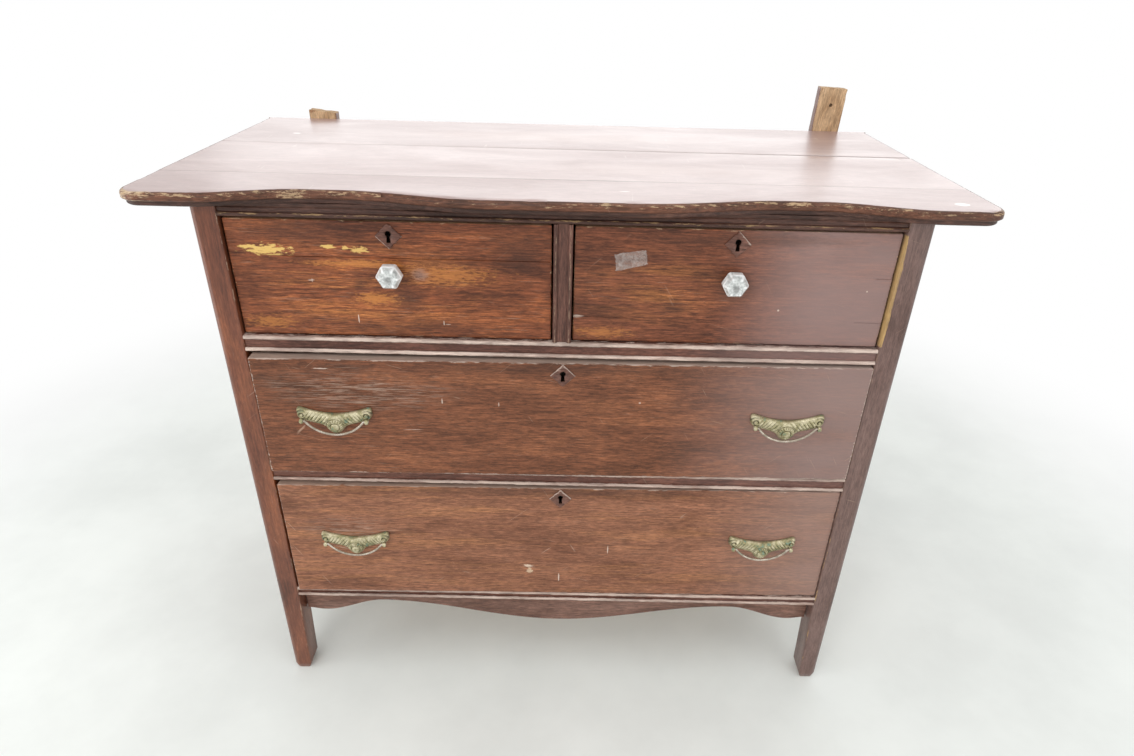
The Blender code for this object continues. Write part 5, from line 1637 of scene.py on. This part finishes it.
def tapeFinish():
    finish, tree, shader = newFinish("old clear tape")
    coords = objectPlace(tree)
    dirtAndDarkening = noiseOver(tree, coords, 120.0, 5.0, 0.7)
    colour = blendColour(tree, spread(tree, dirtAndDarkening, 0.35, 0.65), (0.50, 0.40, 0.36), (0.62, 0.54, 0.50))
    setValues(tree, shader, {"Base Color": colour, "Alpha": spread(tree, dirtAndDarkening, 0.3, 0.7, 0.16, 0.32),
                             "Roughness": 0.28, "Coat Weight": 0.5})
    return finish


def buildTape(drawer):
    t = tapeShape
    matrix, face = fronts[drawer]
    topLeft, bottomLeft, bottomRight, topRight = t["corners"]
    points = []
    rows, columns = t["up"] + 1, t["across"] + 1
    for layer in (0.0, t["thick"]):
        for j in range(rows):
            v = j / t["up"]
            left, right = between(topLeft, bottomLeft, v), between(topRight, bottomRight, v)
            for i in range(columns):
                u = i / t["across"]
                x, z = between(left, right, u)
                torn = t["torn"] * roughNoise((x, 0, z), t["tornScale"], 2.0)
                if i in (0, t["across"]):
                    x += torn
                if j in (0, t["up"]):
                    z += t["tornUp"] * torn
                # the edges have begun to lift
                lift = t["lift"] * easeStep(t["liftReach"], 0.0, min(u, 1 - u, v, 1 - v))
                lift *= max(0.0, roughNoise((x, 1, z), t["liftScale"]))
                points.append(Vector((x, face - t["off"] - layer - lift, z)))
    faces = []
    shift = rows * columns
    for j in range(rows - 1):
        for i in range(columns - 1):
            a = j * columns + i
            faces.append((a, a + 1, a + columns + 1, a + columns))
            faces.append((shift + a, shift + a + columns, shift + a + columns + 1, shift + a + 1))
    loop = list(range(columns)) + [j * columns + columns - 1 for j in range(1, rows)]
    loop += [(rows - 1) * columns + i for i in range(columns - 2, -1, -1)]
    loop += [j * columns for j in range(rows - 2, 0, -1)]
    for a, b in zip(loop, loop[1:] + loop[:1]):
        faces.append((a, b, shift + b, shift + a))
    settle(makePiece(drawer + "_tape", points, faces, tapeFinish(), 35, matrix), drawer, "pressed_glass")


buildTape("top_right_drawer")
print("tape made")


# Floor, light and camera

stageShape = {"radius": 6.0, "facets": 64, "paleFrom": 1.0, "paleTo": 1.9,
              "floorColour": (0.82, 0.85, 0.82), "worldLight": 0.65}


def seenDirectly(tree):
    # 1 where the surroundings are looked at, or mirrored in metal and glass
    rays = tree.nodes.new("ShaderNodeLightPath")
    return calc(tree, "MAXIMUM", rays.outputs["Is Camera Ray"],
                calc(tree, "MAXIMUM", rays.outputs["Is Glossy Ray"], rays.outputs["Is Transmission Ray"]))


def buildStage():
    s = stageShape
    ring = [(s["radius"] * x, s["radius"] * y, 0.0) for x, y in unitCircle(s["facets"])]
    finish, tree, shader = newFinish("pale floor")
    coords = objectPlace(tree)
    parts = splitAxes(tree, coords)
    cloud = noiseOver(tree, coords, 2.5, 6.0, 0.6)
    shades = [scaled(k, s["floorColour"]) for k in (0.94, 1.05)]
    setValues(tree, shader, {"Base Color": blendColour(tree, spread(tree, cloud, 0.3, 0.7), *shades),
                             "Roughness": 0.7})
    # far from the object the floor fades into the white surroundings
    away = lengthOf(tree, parts[0], parts[1])
    seen = seenDirectly(tree)
    white = tree.nodes.new("ShaderNodeEmission")
    white.inputs["Color"].default_value = (1.0, 1.0, 1.0, 1.0)
    mix = tree.nodes.new("ShaderNodeMixShader")
    feed(tree, mix.inputs[0], times(tree, seen, spread(tree, away, s["paleFrom"], s["paleTo"])))
    feed(tree, mix.inputs[1], shader.outputs[0])
    feed(tree, mix.inputs[2], white.outputs[0])
    feed(tree, tree.nodes["Material Output"].inputs["Surface"], mix.outputs[0])
    floor = makePiece("pale_floor", ring, [list(range(s["facets"]))], finish)


def buildWorld():
    world = bpy.data.worlds.new("white studio")
    bpy.context.scene.world = world
    world.use_nodes = True
    tree, light = world.node_tree, stageShape["worldLight"]
    seen = seenDirectly(tree)
    strength = calc(tree, "MULTIPLY_ADD", seen, 1 - light, light)
    setValues(tree, tree.nodes["Background"], {"Color": (1.0, 1.0, 1.0, 1.0), "Strength": strength})


softBoxes = {
    "key_box": {"place": (-1.8, -4.2, 2.4), "aim": (0.0, 0.0, 0.5), "size": (3.0, 2.4), "power": 86.0},
    "right_box": {"place": (1.9, -1.7, 0.9), "aim": (0.2, -0.2, 0.5), "size": (1.6, 1.8), "power": 8.0},
    "rear_box": {"place": (0.5, 2.6, 1.55), "aim": (0.1, 0.0, 0.9), "size": (5.0, 1.5), "power": 21.0},
    "over_box": {"place": (0.1, -0.9, 3.2), "aim": (0.1, -0.9, 0.0), "size": (2.6, 2.2), "power": 21.0},
    "left_box": {"place": (-1.7, -0.7, 0.7), "aim": (-0.4, -0.2, 0.5), "size": (0.9, 1.6), "power": 6.0},
}


def buildLights():
    for name, box in softBoxes.items():
        light = bpy.data.lights.new(name, "AREA")
        light.shape = "RECTANGLE"
        light.size, light.size_y = box["size"]
        light.energy = box["power"]
        lamp = placeObject(name, light)
        lamp.location = box["place"]
        aim = Vector(box["aim"]) - Vector(box["place"])
        lamp.rotation_euler = aim.to_track_quat("-Z", "Y").to_euler()
        lamp.visible_camera = False
        lamp.visible_glossy = name != "key_box"      # it would wipe out the top seen from behind


photoView = {"place": (0.00840, -1.13022, 1.10555), "yaw": 0.487, "pitch": 29.005, "roll": 1.538,
             "focalPixels": 727.0, "imageWidth": 1134, "shiftPixels": -5.28, "sensor": 36.0,
             "nearest": 0.01}


def buildCamera():
    v = photoView
    yaw, pitch, roll = (math.radians(v[k]) for k in ("yaw", "pitch", "roll"))
    ahead = Vector((math.sin(yaw) * math.cos(pitch), math.cos(yaw) * math.cos(pitch), -math.sin(pitch)))
    right = Vector((math.cos(yaw), -math.sin(yaw), 0.0))
    up = right.cross(ahead)
    tiltedRight = math.cos(roll) * right + math.sin(roll) * up
    tiltedUp = math.cos(roll) * up - math.sin(roll) * right
    lens = bpy.data.cameras.new("photo camera")
    lens.sensor_width = v["sensor"]
    lens.lens = v["focalPixels"] * v["sensor"] / v["imageWidth"]
    lens.shift_x = v["shiftPixels"] / v["imageWidth"]
    lens.clip_start = v["nearest"]
    camera = placeObject("photo camera", lens)
    turn = Matrix((tiltedRight, tiltedUp, -ahead)).transposed()
    camera.matrix_world = Matrix.Translation(v["place"]) @ turn.to_4x4()
    bpy.context.scene.camera = camera


buildStage()
buildWorld()
buildLights()
buildCamera()
bpy.context.scene.view_settings.view_transform = "Standard"
print("stage, lights and camera made")
